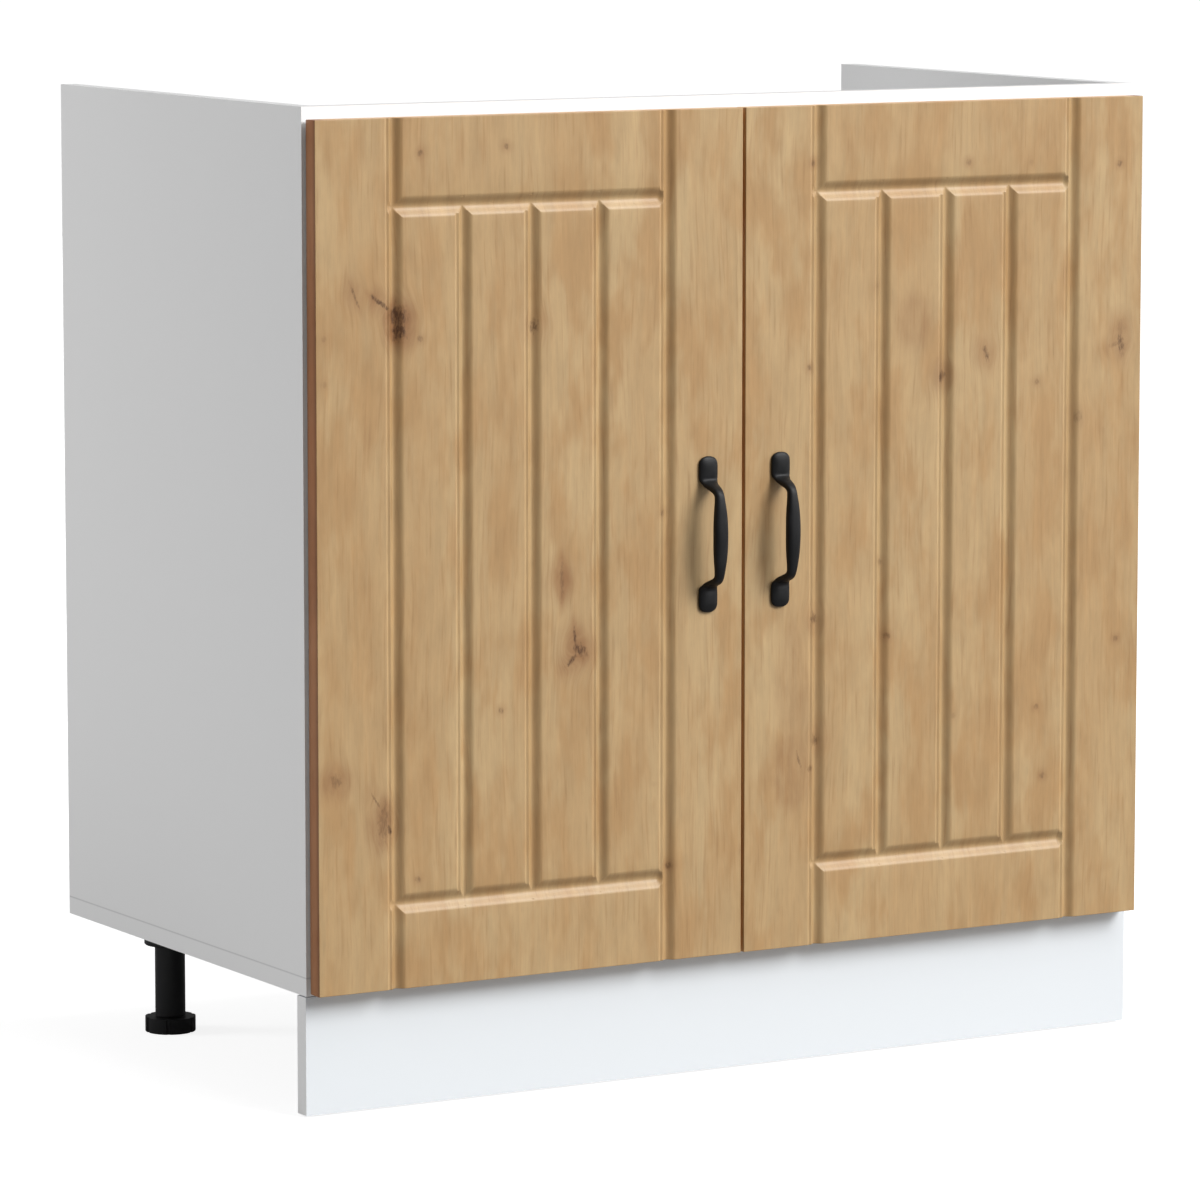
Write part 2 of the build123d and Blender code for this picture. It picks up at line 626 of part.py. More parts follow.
def hinge_arm():
    """A left hinge arm: eye, curved neck and channel over the mounting plate, in u, v, w."""
    half_w = ARM_NECK_WIDTH / 2
    neck = Pos(0, 0, -half_w) * extrude(arm_strip(), ARM_NECK_WIDTH)
    neck += rod((PIVOT_U, PIVOT_V, -half_w), (0, 0, 1), EYE_R, ARM_NECK_WIDTH)
    neck -= rod((PIVOT_U, PIVOT_V, -half_w), (0, 0, 1), PIN_R + PIN_CLEARANCE, ARM_NECK_WIDTH)
    half_arm = ARM_WIDTH / 2
    cheek_u0 = SIDE_T + ARM_STAND_OFF
    channel = block(cheek_u0, ARM_WEB_U1, ARM_START, ARM_END, -half_arm, half_arm)
    inner = half_arm - ARM_CHEEK_T
    channel -= block(cheek_u0, ARM_WEB_U0, ARM_START, ARM_END, -inner, inner)
    arm = neck + channel
    for hole in arm_screws(screw_blank):
        arm -= hole
    return arm


def mounting_plate():
    """A left mounting plate: two wings on the side panel and the block inside the arm, in u, v, w."""
    half_wing, half_width = PLATE_WING_LENGTH / 2, PLATE_WING_WIDTH / 2
    wings = block(
        SIDE_T, SIDE_T + PLATE_WING_T, PLATE_SETBACK - half_width, PLATE_SETBACK + half_width,
        -half_wing, half_wing,
    )
    wings = fillet(wings.edges().filter_by(Axis.X), PLATE_WING_CORNER_RADIUS)
    half_block = ARM_WIDTH / 2 - ARM_CHEEK_T - ARM_CHEEK_CLEARANCE
    body = block(SIDE_T, ARM_WEB_U0, PLATE_BLOCK_START, ARM_END, -half_block, half_block)
    plate = wings + body
    for hole in plate_screws(screw_blank) + arm_screws(screw_blank):
        plate -= hole
    return plate


CUP, PIN, ARM, PLATE = hinge_cup(), hinge_pin(), hinge_arm(), mounting_plate()
plate_screw_solids, arm_screw_solids = [], []
for level, height in HINGE_Z.items():
    for side in ("left", "right"):
        place = hinge_place(height)
        PARTS[f"hinge_cup_{level}_{side}"] = single(on_side(place * CUP, side))
        PARTS[f"hinge_arm_{level}_{side}"] = single(on_side(place * ARM, side))
        PARTS[f"hinge_plate_{level}_{side}"] = single(on_side(place * PLATE, side))
        plate_screw_solids += [on_side(place * shape, side) for shape in plate_screws()]
        arm_screw_solids += [on_side(place * shape, side) for shape in arm_screws()]
PARTS["hinge_plate_screws"] = several(plate_screw_solids)
PARTS["hinge_arm_screws"] = several(arm_screw_solids)
for side in ("left", "right"):
    places = [hinge_place(height) for height in HINGE_Z.values()]
    PARTS[f"hinge_pins_{side}"] = several([on_side(place * PIN, side) for place in places])
    PARTS[f"cup_screws_{side}"] = several(
        [on_side(place * shape, side) for place in places for shape in cup_screws()]
    )


# ------------------------------------------------------------------ doors
def groove(start, end):
    """A V-groove's cutter along the door's front, between two (x, z) points."""
    half = GROOVE_DEPTH * math.tan(math.radians(GROOVE_ANGLE / 2))
    length = math.dist(start, end)
    profile = make_face(Polyline((-half, 0), (half, 0), (0, GROOVE_DEPTH), close=True))
    along = (end[0] - start[0], 0, end[1] - start[1])
    plane = Plane(origin=(start[0], DOOR_FRONT_Y, start[1]), x_dir=(0, 1, 0), z_dir=along)
    return plane * Rot(0, 0, -90) * extrude(profile, length)


def door():
    """The left door, with its grooves, cup holes and screw holes."""
    x0, x1 = -DOOR_X0, -DOOR_X1
    slab = block(x0, x1, DOOR_FRONT_Y, DOOR_BACK_Y, DOOR_Z0, DOOR_Z1)
    slab = fillet(slab.edges().filter_by(Axis.Y), DOOR_CORNER_RADIUS)
    slab = fillet(slab.faces().sort_by(Axis.Y)[0].edges(), DOOR_FRONT_RADIUS)
    slab = fillet(slab.faces().sort_by(Axis.Y)[-1].edges(), DOOR_BACK_RADIUS)
    left, right = x0 + STILE, x1 - STILE
    top, bottom = DOOR_Z1 - RAIL_BAND_TOP, DOOR_Z0 + RAIL_BAND_BOTTOM
    cuts = [groove((x, DOOR_Z0), (x, DOOR_Z1)) for x in (left, right)]
    cuts += [groove((left, z), (right, z)) for z in (top, bottom)]
    plank = (right - left) / PLANKS
    cuts += [groove((left + i * plank, bottom), (left + i * plank, top)) for i in range(1, PLANKS)]
    for cut in cuts:
        slab -= cut
    for height in HINGE_Z.values():
        slab -= hinge_place(height) * cup_outside()
        for hole in cup_screws(screw_blank):
            slab -= hinge_place(height) * hole
    for hole in handle_screws(screw_blank):
        slab -= hole
    return slab


def handle():
    """The left door's handle: two pads joined by a bowed grip that swells towards its middle."""
    end = HANDLE_LENGTH / 2
    neck_z = end - PAD_LENGTH
    grip_out = HANDLE_OUT - GRIP_DEPTH / 2
    stations = [
        (neck_z + NECK_ROOT_OVERLAP, NECK_ROOT_OUT, NECK_WIDTH, NECK_ROOT_DEPTH),
        (neck_z - NECK_LEAN, PAD_T + NECK_RISE, NECK_WIDTH, NECK_DEPTH),
        (neck_z - KNEE_LEAN, KNEE_OUT, KNEE_WIDTH, KNEE_DEPTH),
        (SHOULDER_Z, SHOULDER_OUT, SHOULDER_WIDTH, SHOULDER_DEPTH),
        (GRIP_END_Z, GRIP_END_OUT, GRIP_END_WIDTH, GRIP_END_DEPTH),
        (0.0, grip_out, GRIP_WIDTH, GRIP_DEPTH),
    ]
    stations = [(-z, out, w, d) for z, out, w, d in stations[:-1]] + stations[::-1]
    sections = []
    for i, (z, out, width, depth) in enumerate(stations):
        before, after = stations[max(i - 1, 0)], stations[min(i + 1, len(stations) - 1)]
        along = (0, before[1] - after[1], after[0] - before[0])
        plane = Plane(origin=(0, -out, z), x_dir=(1, 0, 0), z_dir=along)
        sections.append(plane * Ellipse(width / 2, depth / 2))
    shape = loft(sections)
    half = PAD_WIDTH / 2
    for sign in (-1, 1):
        inner_z, arch_z, outer_z = neck_z, end - PAD_ARCH, end
        outline = [
            Line((-half, inner_z), (half, inner_z)),
            Line((half, inner_z), (half, arch_z)),
            ThreePointArc((half, arch_z), (0, outer_z), (-half, arch_z)),
            Line((-half, arch_z), (-half, inner_z)),
        ]
        pad = extrude(Plane.XZ * make_face(outline), PAD_T)
        pad = fillet(pad.faces().sort_by(Axis.Y)[0].edges(), PAD_EDGE_RADIUS)
        shape += pad if sign > 0 else mirror(pad, about=Plane.XY)
    shape = Pos(-HANDLE_X, DOOR_FRONT_Y, HANDLE_CENTRE_HEIGHT) * shape
    for hole in handle_screws(screw_blank):
        shape -= hole
    return shape


DOOR, HANDLE = door(), handle()
for side in ("left", "right"):
    PARTS[f"door_{side}"] = single(on_side(DOOR, side))
    PARTS[f"handle_{side}"] = single(on_side(HANDLE, side))
    PARTS[f"handle_screws_{side}"] = several([on_side(shape, side) for shape in handle_screws()])

for name, shape in PARTS.items():
    export_step(shape, f"parts/{name}.step")
print(len(PARTS), "nodes")
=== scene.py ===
import math
from typing import NamedTuple

import bpy
import numpy as np
from bpy.props import FloatProperty, FloatVectorProperty, PointerProperty
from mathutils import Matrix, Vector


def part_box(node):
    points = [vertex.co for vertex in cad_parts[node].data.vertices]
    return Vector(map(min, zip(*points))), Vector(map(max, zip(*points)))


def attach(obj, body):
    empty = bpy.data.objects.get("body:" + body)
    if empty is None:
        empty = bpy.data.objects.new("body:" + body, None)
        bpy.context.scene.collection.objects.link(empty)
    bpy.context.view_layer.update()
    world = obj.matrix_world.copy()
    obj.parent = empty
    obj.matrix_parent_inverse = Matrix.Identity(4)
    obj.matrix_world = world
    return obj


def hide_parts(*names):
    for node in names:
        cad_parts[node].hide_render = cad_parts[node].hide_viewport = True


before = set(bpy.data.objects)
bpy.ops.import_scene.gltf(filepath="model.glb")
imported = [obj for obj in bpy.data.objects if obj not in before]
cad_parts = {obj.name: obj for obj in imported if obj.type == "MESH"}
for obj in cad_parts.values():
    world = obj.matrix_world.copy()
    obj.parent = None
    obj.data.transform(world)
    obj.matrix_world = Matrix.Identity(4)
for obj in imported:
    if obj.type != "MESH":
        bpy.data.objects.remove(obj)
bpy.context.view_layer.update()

bl_info = {
    "name": "Oak Sink Unit",
    "version": (1, 0, 0),
    "blender": (4, 5, 0),
    "location": "View3D > Sidebar > Sink Unit",
    "description": "Dresses a two-door sink base cabinet: grooved oak doors, bow handles, board, metal "
    "and studio",
    "category": "Object",
}

SIDES = ("left", "right")
ROWS = ("front", "back")
LEVELS = ("lower", "upper")
MM = 0.001
SENSOR_WIDTH = 36.0


# ---------------------------------------------------------------- mesh helpers

def grid_quads(rows, columns, ring=False):
    """Four-sided faces of a grid of rows x columns points; with ring the last column joins the first."""
    across = np.arange(columns if ring else columns - 1)
    down = np.arange(rows - 1)
    i, j = np.meshgrid(down, across, indexing="ij")
    k = (j + 1) % columns
    start = i * columns
    quads = np.stack([start + j, start + columns + j, start + columns + k, start + k], axis=-1)
    return quads.reshape(-1, 4)


def mesh_object(name, points, faces, smooth=True):
    """An object at the origin whose mesh holds the points and faces as they are."""
    mesh = bpy.data.meshes.new(name)
    mesh.from_pydata(points.tolist(), [], [list(face) for face in faces])
    mesh.polygons.foreach_set("use_smooth", np.full(len(mesh.polygons), smooth))
    mesh.update()
    made = bpy.data.objects.new(name, mesh)
    bpy.context.scene.collection.objects.link(made)
    return made


def apply_modifiers(made):
    """Puts what the modifiers make into the object's own mesh."""
    graph = bpy.context.evaluated_depsgraph_get()
    graph.update()
    mesh = bpy.data.meshes.new_from_object(made.evaluated_get(graph))
    made.modifiers.clear()
    made.data = mesh


def box_skin(xs, ys, zs):
    """The skin of a block: each face is a grid over two of the three rows, and shared points are merged."""
    rows = (xs, ys, zs)
    skin = []
    quads = []
    count = 0
    for k in range(3):
        a, b = (k + 1) % 3, (k + 2) % 3
        u, v = np.meshgrid(rows[a], rows[b], indexing="ij")
        face = grid_quads(len(rows[a]), len(rows[b]))
        for end in (0, -1):
            points = np.empty(u.shape + (3,))
            points[..., k] = rows[k][end]
            points[..., a] = u
            points[..., b] = v
            skin.append(points.reshape(-1, 3))
            quads.append(count + (face if end else face[:, ::-1]))
            count += u.size
    points, index = np.unique(np.concatenate(skin), axis=0, return_inverse=True)
    return points, index.reshape(-1)[np.concatenate(quads)]


def rounded(points, low, high, radius):
    """Each point goes to the nearest point of a block one radius smaller, then one radius out again."""
    core = np.clip(points, low + radius, high - radius)
    arm = points - core
    length = np.maximum(np.linalg.norm(arm, axis=1, keepdims=True), 1e-9)
    return core + radius * arm / length


def edge_row(low, high, radius, inner, steps=5):
    """Coordinates from low to high: at both ends the edge turns by equal angles, and inner lies between."""
    turn = radius * (1 - np.tan(np.linspace(math.pi / 4, 0, steps)))
    return np.unique(np.round(np.concatenate([low + turn, inner, high - turn]), 7))


def spline(knots, samples):
    """A smooth curve through rows of numbers: Catmull-Rom, with both end rows doubled."""
    knots = np.asarray(knots, float)
    row = np.concatenate([knots[:1], knots, knots[-1:]])
    place = np.linspace(0, len(knots) - 1 - 1e-9, samples)
    i = place.astype(int)
    t = (place - i)[:, None]
    before, start, end, after = row[i], row[i + 1], row[i + 2], row[i + 3]
    return start + 0.5 * t * (
        end - before
        + t * (2 * before - 5 * start + 4 * end - after)
        + t**2 * (3 * start - before - 3 * end + after)
    )


# ---------------------------------------------------------------- shader helpers

class Nodes:
    """Adds nodes to one tree. An input given as a socket is linked, and any other value is set on it."""

    def __init__(self, tree):
        self.tree = tree

    def add(self, kind, inputs=None, **settings):
        node = self.tree.nodes.new(kind)
        for key, value in settings.items():
            setattr(node, key, value)
        for key, value in (inputs or {}).items():
            if isinstance(value, bpy.types.NodeSocket):
                self.tree.links.new(value, node.inputs[key])
            else:
                node.inputs[key].default_value = value
        return node

    def math(self, operation, a, b=0.0, c=0.0, clamp=False):
        values = {0: a, 1: b, 2: c}
        return self.add("ShaderNodeMath", values, operation=operation, use_clamp=clamp).outputs[0]

    def step(self, value, start, end, low=0.0, high=1.0):
        """low up to start, high from end on, and a soft step between."""
        inputs = {"Value": value, "From Min": start, "From Max": end, "To Min": low, "To Max": high}
        return self.add("ShaderNodeMapRange", inputs, interpolation_type="SMOOTHSTEP").outputs[0]

    def mix(self, factor, a, b, blend="MIX"):
        """Colour a turned to b by the factor."""
        node = self.add("ShaderNodeMix", data_type="RGBA", blend_type=blend)
        for key, value in ((0, factor), (6, a), (7, b)):
            if isinstance(value, bpy.types.NodeSocket):
                self.tree.links.new(value, node.inputs[key])
            else:
                node.inputs[key].default_value = value
        return node.outputs[2]

    def noise(self, place, scale, detail=2.0, roughness=0.5, distortion=0.0):
        inputs = {"Vector": place, "Scale": scale, "Detail": detail, "Roughness": roughness}
        return self.add("ShaderNodeTexNoise", {**inputs, "Distortion": distortion}).outputs["Fac"]

    def facing(self):
        """The smooth direction that the surface faces, in the piece's own coordinates."""
        return self.add("ShaderNodeTexCoord").outputs["Normal"]

    def vector(self, operation, *values):
        """What the operation makes of the vectors: a number for LENGTH, and otherwise a vector."""
        node = self.add("ShaderNodeVectorMath", dict(enumerate(values)), operation=operation)
        return node.outputs["Value" if operation == "LENGTH" else "Vector"]

    def stretched(self, place, x, y, z):
        """The place with each coordinate multiplied."""
        return self.vector("MULTIPLY", place, (x, y, z))

    def split(self, vector):
        """The three parts of a vector."""
        return self.add("ShaderNodeSeparateXYZ", {0: vector}).outputs

    def combine(self, x, y, z):
        """A vector from its three parts."""
        return self.add("ShaderNodeCombineXYZ", {0: x, 1: y, 2: z}).outputs[0]

    def bump(self, strength, distance, height):
        """The surface's direction, tilted by a fine relief that is the distance high."""
        inputs = {"Strength": strength, "Distance": distance, "Height": height}
        return self.add("ShaderNodeBump", inputs).outputs[0]


def new_material(name):
    """A material with an empty tree: its Nodes, its shader and its place on the piece."""
    material = bpy.data.materials.new(name)
    material.use_nodes = True
    tree = material.node_tree
    tree.nodes.clear()
    nodes = Nodes(tree)
    shader = nodes.add("ShaderNodeBsdfPrincipled")
    nodes.add("ShaderNodeOutputMaterial", {"Surface": shader.outputs[0]})
    place = nodes.add("ShaderNodeTexCoord").outputs["Object"]
    return material, nodes, shader, place


def join(nodes, shader, **sockets):
    """Links sockets to the shader's inputs, or sets numbers on them. In a name, _ stands for a space."""
    for key, value in sockets.items():
        socket = shader.inputs[key.replace("_", " ")]
        if isinstance(value, bpy.types.NodeSocket):
            nodes.tree.links.new(value, socket)
        else:
            socket.default_value = value


# ---------------------------------------------------------------- oak

PHOTO_WIDTH = 1200
PHOTO_HEIGHT = 1181
KNOT_FADE = 110 * MM**2
NET_SCALE = 13.0
OUTER_EDGE = (0.385, 0.392)
GRAIN_LAYERS = {
    "bands": (0.13, 24, 3, 0.55),
    "clouds": (0.34, 32, 3, 0.6),
    "blotches": (0.28, 90, 3, 0.65),
    "streaks": (0.035, 210, 3, 0.6),
    "ticks": (0.045, 420, 2, 0.5),
    "fine": (0.03, 700, 2, 0.5),
    "pores": (0.05, 1500, 1, 0.5),
}


class Knot(NamedTuple):
    """A knot or brown patch of the printed oak.

    Its middle is the photograph's pixel that shows it. Its half sizes are in mm and its turn is in degrees.
    """

    column: float
    row: float
    half_width: float
    half_height: float
    turn: float
    darkness: float
    brown: float


class Crack(NamedTuple):
    """A crack or dark line of the printed oak, from one pixel of the photograph to another.

    Its half width is in mm.
    """

    from_column: float
    from_row: float
    to_column: float
    to_row: float
    half_width: float
    darkness: float
    brown: float


LEFT_DOOR_KNOTS = {
    "stile knot": Knot(399, 317, 6.5, 8, 25, 1, 1),
    "stile knot's tail": Knot(400, 331, 5.5, 7, 0, 1, 1),
    "stile knot's crack": Crack(372, 297, 391, 311, 1.8, 0.9, 0.8),
    "stile scratch": Crack(351, 287, 358, 306, 1.2, 0.6, 0.6),
    "groove knot": Knot(535, 326, 3.5, 5, 0, 0.65, 0.4),
    "swirl": Crack(562, 563, 562, 597, 1.6, 0.4, 1),
    "star knot": Knot(580, 650, 6.5, 4, -35, 0.95, 1),
    "star knot's upper crack": Crack(574, 627, 576, 650, 1.3, 0.9, 0.8),
    "star knot's lower crack": Crack(576, 655, 567, 666, 2, 0.9, 0.8),
    "brown eye": Knot(336, 782, 4.5, 5, 0, 0.45, 0.8),
    "low knot": Knot(384, 823, 5, 15, -5, 0.4, 0.8),
    "low knot's core": Knot(390, 830, 2, 4, 15, 0.9, 0.7),
    "low knot's crack": Crack(373, 796, 381, 809, 1, 0.6, 0.4),
}
RIGHT_DOOR_KNOTS = {
    "stile knot": Knot(1121, 344, 3, 8.5, 10, 0.75, 0.6),
    "stile knot's cross": Knot(1115, 344, 6, 2, 15, 0.35, 0.4),
    "stile knot's shade": Knot(1121, 329, 3.5, 7, 0, 0.25, 0.5),
    "plank crack": Knot(986, 353, 2.2, 6.5, 20, 0.8, 0.6),
    "plank knot": Knot(943, 376, 4, 4.5, 0, 0.8, 0.5),
    "brown patch": Knot(914, 320, 9, 14, 0, 0, 0.4),
    "far eye": Knot(1078, 416, 3.5, 4.5, 0, 0.35, 0.2),
    "groove knot": Knot(815, 618, 3.5, 5, 0, 0.7, 0.4),
    "groove eye": Knot(816, 740, 3.5, 5, 0, 0.6, 0.4),
    "low crack": Crack(797, 753, 801, 769, 1.1, 0.5, 0.4),
    "low patch": Knot(792, 770, 12, 26, 0, 0, 0.4),
    "long patch": Knot(793, 690, 9, 50, 0, 0, 0.3),
}


def on_the_front(column, row):
    """Where the camera's ray through a pixel of the photograph meets the doors' front."""
    studio = bpy.context.scene.sink_unit_studio
    turn, tilt = studio.yaw, studio.pitch
    ahead = np.array([math.sin(turn) * math.cos(tilt), math.cos(turn) * math.cos(tilt), -math.sin(tilt)])
    right = np.array([math.cos(turn), -math.sin(turn), 0])
    above = np.cross(right, ahead)
    focal = studio.lens / SENSOR_WIDTH * PHOTO_WIDTH
    ray = focal * ahead + (column - PHOTO_WIDTH / 2) * right - (row - PHOTO_HEIGHT / 2) * above
    start = np.array(studio.camera_place)
    return start + ray * (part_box("door_left")[0][1] - start[1]) / ray[1]


def mark_shape(mark):
    """A mark's middle on the plane y = 0, its half sizes in m and its turn. A crack joins its two ends."""
    if isinstance(mark, Crack):
        start = on_the_front(mark.from_column, mark.from_row)
        end = on_the_front(mark.to_column, mark.to_row)
        x, _, z = (start + end) / 2
        across, _, up = end - start
        return (x, 0.0, z), (mark.half_width * MM, 1.0, math.hypot(across, up) / 2), -math.atan(across / up)
    x, _, z = on_the_front(mark.column, mark.row)
    return (x, 0.0, z), (mark.half_width * MM, 1.0, mark.half_height * MM), math.radians(mark.turn)


def knot_group():
    """One knot in the grain.

    With u and w the distances across and along it over its half sizes and r their length, the core is dark
    inside r = 1 with a ragged rim. With R the distance in mm past the rim, the grain's sideways move and the
    brown fade as exp(-R R / 110).
    """
    tree = bpy.data.node_groups.new("oak knot", "ShaderNodeTree")
    for name, kind in (
        ("Place", "NodeSocketVector"), ("Centre", "NodeSocketVector"), ("Half Size", "NodeSocketVector"),
        ("Turn", "NodeSocketFloat"), ("Darkness", "NodeSocketFloat"), ("Brown", "NodeSocketFloat"),
        ("Rag", "NodeSocketFloat"), ("Shift", "NodeSocketFloat"), ("Core", "NodeSocketFloat"),
        ("Halo", "NodeSocketFloat"),
    ):
        tree.interface.new_socket(name, in_out="INPUT", socket_type=kind)
    for name in ("Shift", "Core", "Halo"):
        tree.interface.new_socket(name, in_out="OUTPUT", socket_type="NodeSocketFloat")
    nodes = Nodes(tree)
    given = nodes.add("NodeGroupInput").outputs
    inputs = {"Vector": given["Place"], "Center": given["Centre"], "Angle": given["Turn"]}
    turned = nodes.add("ShaderNodeVectorRotate", inputs, rotation_type="Y_AXIS").outputs[0]
    away = nodes.vector("SUBTRACT", turned, given["Centre"])
    flat = nodes.stretched(away, 1, 0, 1)
    radius = nodes.vector("LENGTH", nodes.vector("DIVIDE", flat, given["Half Size"]))
    ragged = nodes.math("MULTIPLY_ADD", nodes.math("SUBTRACT", given["Rag"], 0.5), 2.4, radius)
    core = nodes.math("MULTIPLY", nodes.step(ragged, 1.45, 0.35), given["Darkness"])
    far = nodes.vector("LENGTH", flat)
    past = nodes.math("SUBTRACT", far, nodes.math("DIVIDE", far, nodes.math("MAXIMUM", radius, 1.0)))
    fade = nodes.math("EXPONENT", nodes.math("MULTIPLY", nodes.math("MULTIPLY", past, past), -1 / KNOT_FADE))
    side = nodes.split(away)[0]
    strength = nodes.math("MULTIPLY", given["Darkness"], -0.7)
    push = nodes.math("MULTIPLY", nodes.math("MULTIPLY", side, fade), strength)
    out = {
        "Shift": nodes.math("ADD", given["Shift"], push),
        "Core": nodes.math("MAXIMUM", given["Core"], core),
        "Halo": nodes.math("MAXIMUM", given["Halo"], nodes.math("MULTIPLY", fade, given["Brown"])),
    }
    nodes.add("NodeGroupOutput", out)
    return tree


def pin_knots(nodes, place, rag, offset):
    """Small knots strewn over the foil: one in some cells of a random net, dark and brown by the distance."""
    across, _, up = nodes.split(place)
    flat = nodes.combine(nodes.math("ADD", across, offset), up, 0.0)
    inputs = {"Vector": flat, "Scale": NET_SCALE}
    net = nodes.add("ShaderNodeTexVoronoi", inputs, voronoi_dimensions="2D").outputs
    far = nodes.math("DIVIDE", net["Distance"], NET_SCALE * MM)
    chosen = nodes.step(nodes.split(net["Color"])[0], 0.72, 0.95)
    ragged = nodes.math("MULTIPLY_ADD", nodes.math("SUBTRACT", rag, 0.5), 4.0, far)
    core = nodes.math("MULTIPLY", nodes.step(ragged, 3.6, 1.0, 0.0, 0.5), chosen)
    halo = nodes.math("MULTIPLY", nodes.step(far, 9.0, 1.5, 0.0, 0.4), chosen)
    return core, halo


def oak_foil(name, knots, finish, offset):
    """Printed oak foil: blotches, soft bands, long streaks and short pores along z that bend round the knots.

    On the side edges: painted shade at the outer edge, painted light by the gap, more shade near the rims.
    """
    material, nodes, shader, place = new_material(name)
    group = bpy.data.node_groups.get("oak knot") or knot_group()
    rag = nodes.noise(nodes.stretched(place, 1, 1, 0.5), 420, 3, 0.6)
    shift, core, halo = 0.0, 0.0, 0.0
    for knot in knots.values():
        middle, half_size, turn = mark_shape(knot)
        inputs = {
            "Place": place, "Centre": middle, "Half Size": half_size, "Turn": turn, "Rag": rag,
            "Darkness": knot.darkness, "Brown": knot.brown, "Shift": shift, "Core": core, "Halo": halo,
        }
        bent = nodes.add("ShaderNodeGroup", node_tree=group)
        for key, value in inputs.items():
            if isinstance(value, bpy.types.NodeSocket):
                nodes.tree.links.new(value, bent.inputs[key])
            else:
                bent.inputs[key].default_value = value
        shift, core, halo = bent.outputs
    pin_core, pin_halo = pin_knots(nodes, place, rag, offset)
    core = nodes.math("MAXIMUM", core, pin_core)
    halo = nodes.math("MAXIMUM", halo, pin_halo)
    sway = nodes.math("SUBTRACT", nodes.noise(nodes.stretched(place, 3, 3, 1.4), 3.1, 2), 0.5)
    sway = nodes.math("MULTIPLY_ADD", sway, 0.02, shift)
    grain = nodes.vector("ADD", place, nodes.combine(sway, offset, 0.0))
    bands, clouds, blotches, streaks, ticks, fine, pores = (
        nodes.noise(nodes.stretched(grain, 1, 0.3, along), scale, detail, roughness)
        for along, scale, detail, roughness in GRAIN_LAYERS.values()
    )
    colour = nodes.mix(nodes.step(bands, 0.32, 0.66), (*finish.oak_light, 1), (*finish.oak_deep, 1))
    colour = nodes.mix(nodes.step(clouds, 0.42, 0.66), colour, (*finish.oak_rosy, 1))
    colour = nodes.mix(nodes.step(ticks, 0.5, 0.72, 0.0, 0.3), colour, (*finish.oak_streak, 1))
    tone = nodes.math("MULTIPLY_ADD", streaks, 0.24, 0.70)
    tone = nodes.math("MULTIPLY_ADD", blotches, 0.36, tone)
    tone = nodes.math("MULTIPLY_ADD", fine, 0.14, tone)
    tone = nodes.math("SUBTRACT", tone, nodes.step(ticks, 0.60, 0.74, 0.0, 0.08))
    tone = nodes.math("SUBTRACT", tone, nodes.step(pores, 0.6, 0.78, 0.0, 0.09))
    facing = nodes.split(nodes.facing())[1]
    across, depth, _ = nodes.split(place)
    # Painted light and shade on the door's side edges: painted shade at the outer edge, painted light at the
    # edge by the gap.
    outer = nodes.step(nodes.math("ABSOLUTE", across), *OUTER_EDGE)
    sideways = nodes.step(nodes.math("ABSOLUTE", facing), 0.75, 0.2)
    core_depth = sum(corner[1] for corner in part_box("door_left")) / 2
    off_core = nodes.math("ABSOLUTE", nodes.math("SUBTRACT", depth, core_depth))
    # rim: painted shade, darker towards the door's front and back, where its rounded edges turn from the
    # light.
    rim = nodes.step(off_core, 0.002, 0.0075, 1.0, 0.7)
    tint = nodes.mix(outer, (*finish.gap_edge_light, 1), (*finish.outer_edge_shade, 1))
    tint = nodes.mix(1.0, tint, rim, "MULTIPLY")
    colour = nodes.mix(1.0, colour, tone, "MULTIPLY")
    colour = nodes.mix(sideways, colour, nodes.mix(1.0, colour, tint, "MULTIPLY"))
    brown = nodes.math("MULTIPLY", halo, nodes.step(blotches, 0.3, 0.7, 1.0, 0.55))
    colour = nodes.mix(brown, colour, (*finish.oak_brown, 1))
    crackle = nodes.noise(nodes.stretched(place, 1, 1, 0.3), 800, 3, 0.65)
    dark = nodes.math("MULTIPLY", core, nodes.step(crackle, 0.33, 0.6, 0.35, 1.0))
    colour = nodes.mix(dark, colour, (*finish.knot_dark, 1))
    sheen = nodes.math("MULTIPLY_ADD", streaks, 0.10, finish.foil_gloss - 0.05)
    height = nodes.math("SUBTRACT", nodes.math("MULTIPLY", fine, 0.6), nodes.math("MULTIPLY", pores, 0.5))
    bump = nodes.bump(0.25, 0.06 * MM, height)
    join(nodes, shader, Base_Color=colour, Roughness=sheen, Normal=bump, Specular_IOR_Level=finish.foil_shine)
    return material


# ---------------------------------------------------------------- other finishes

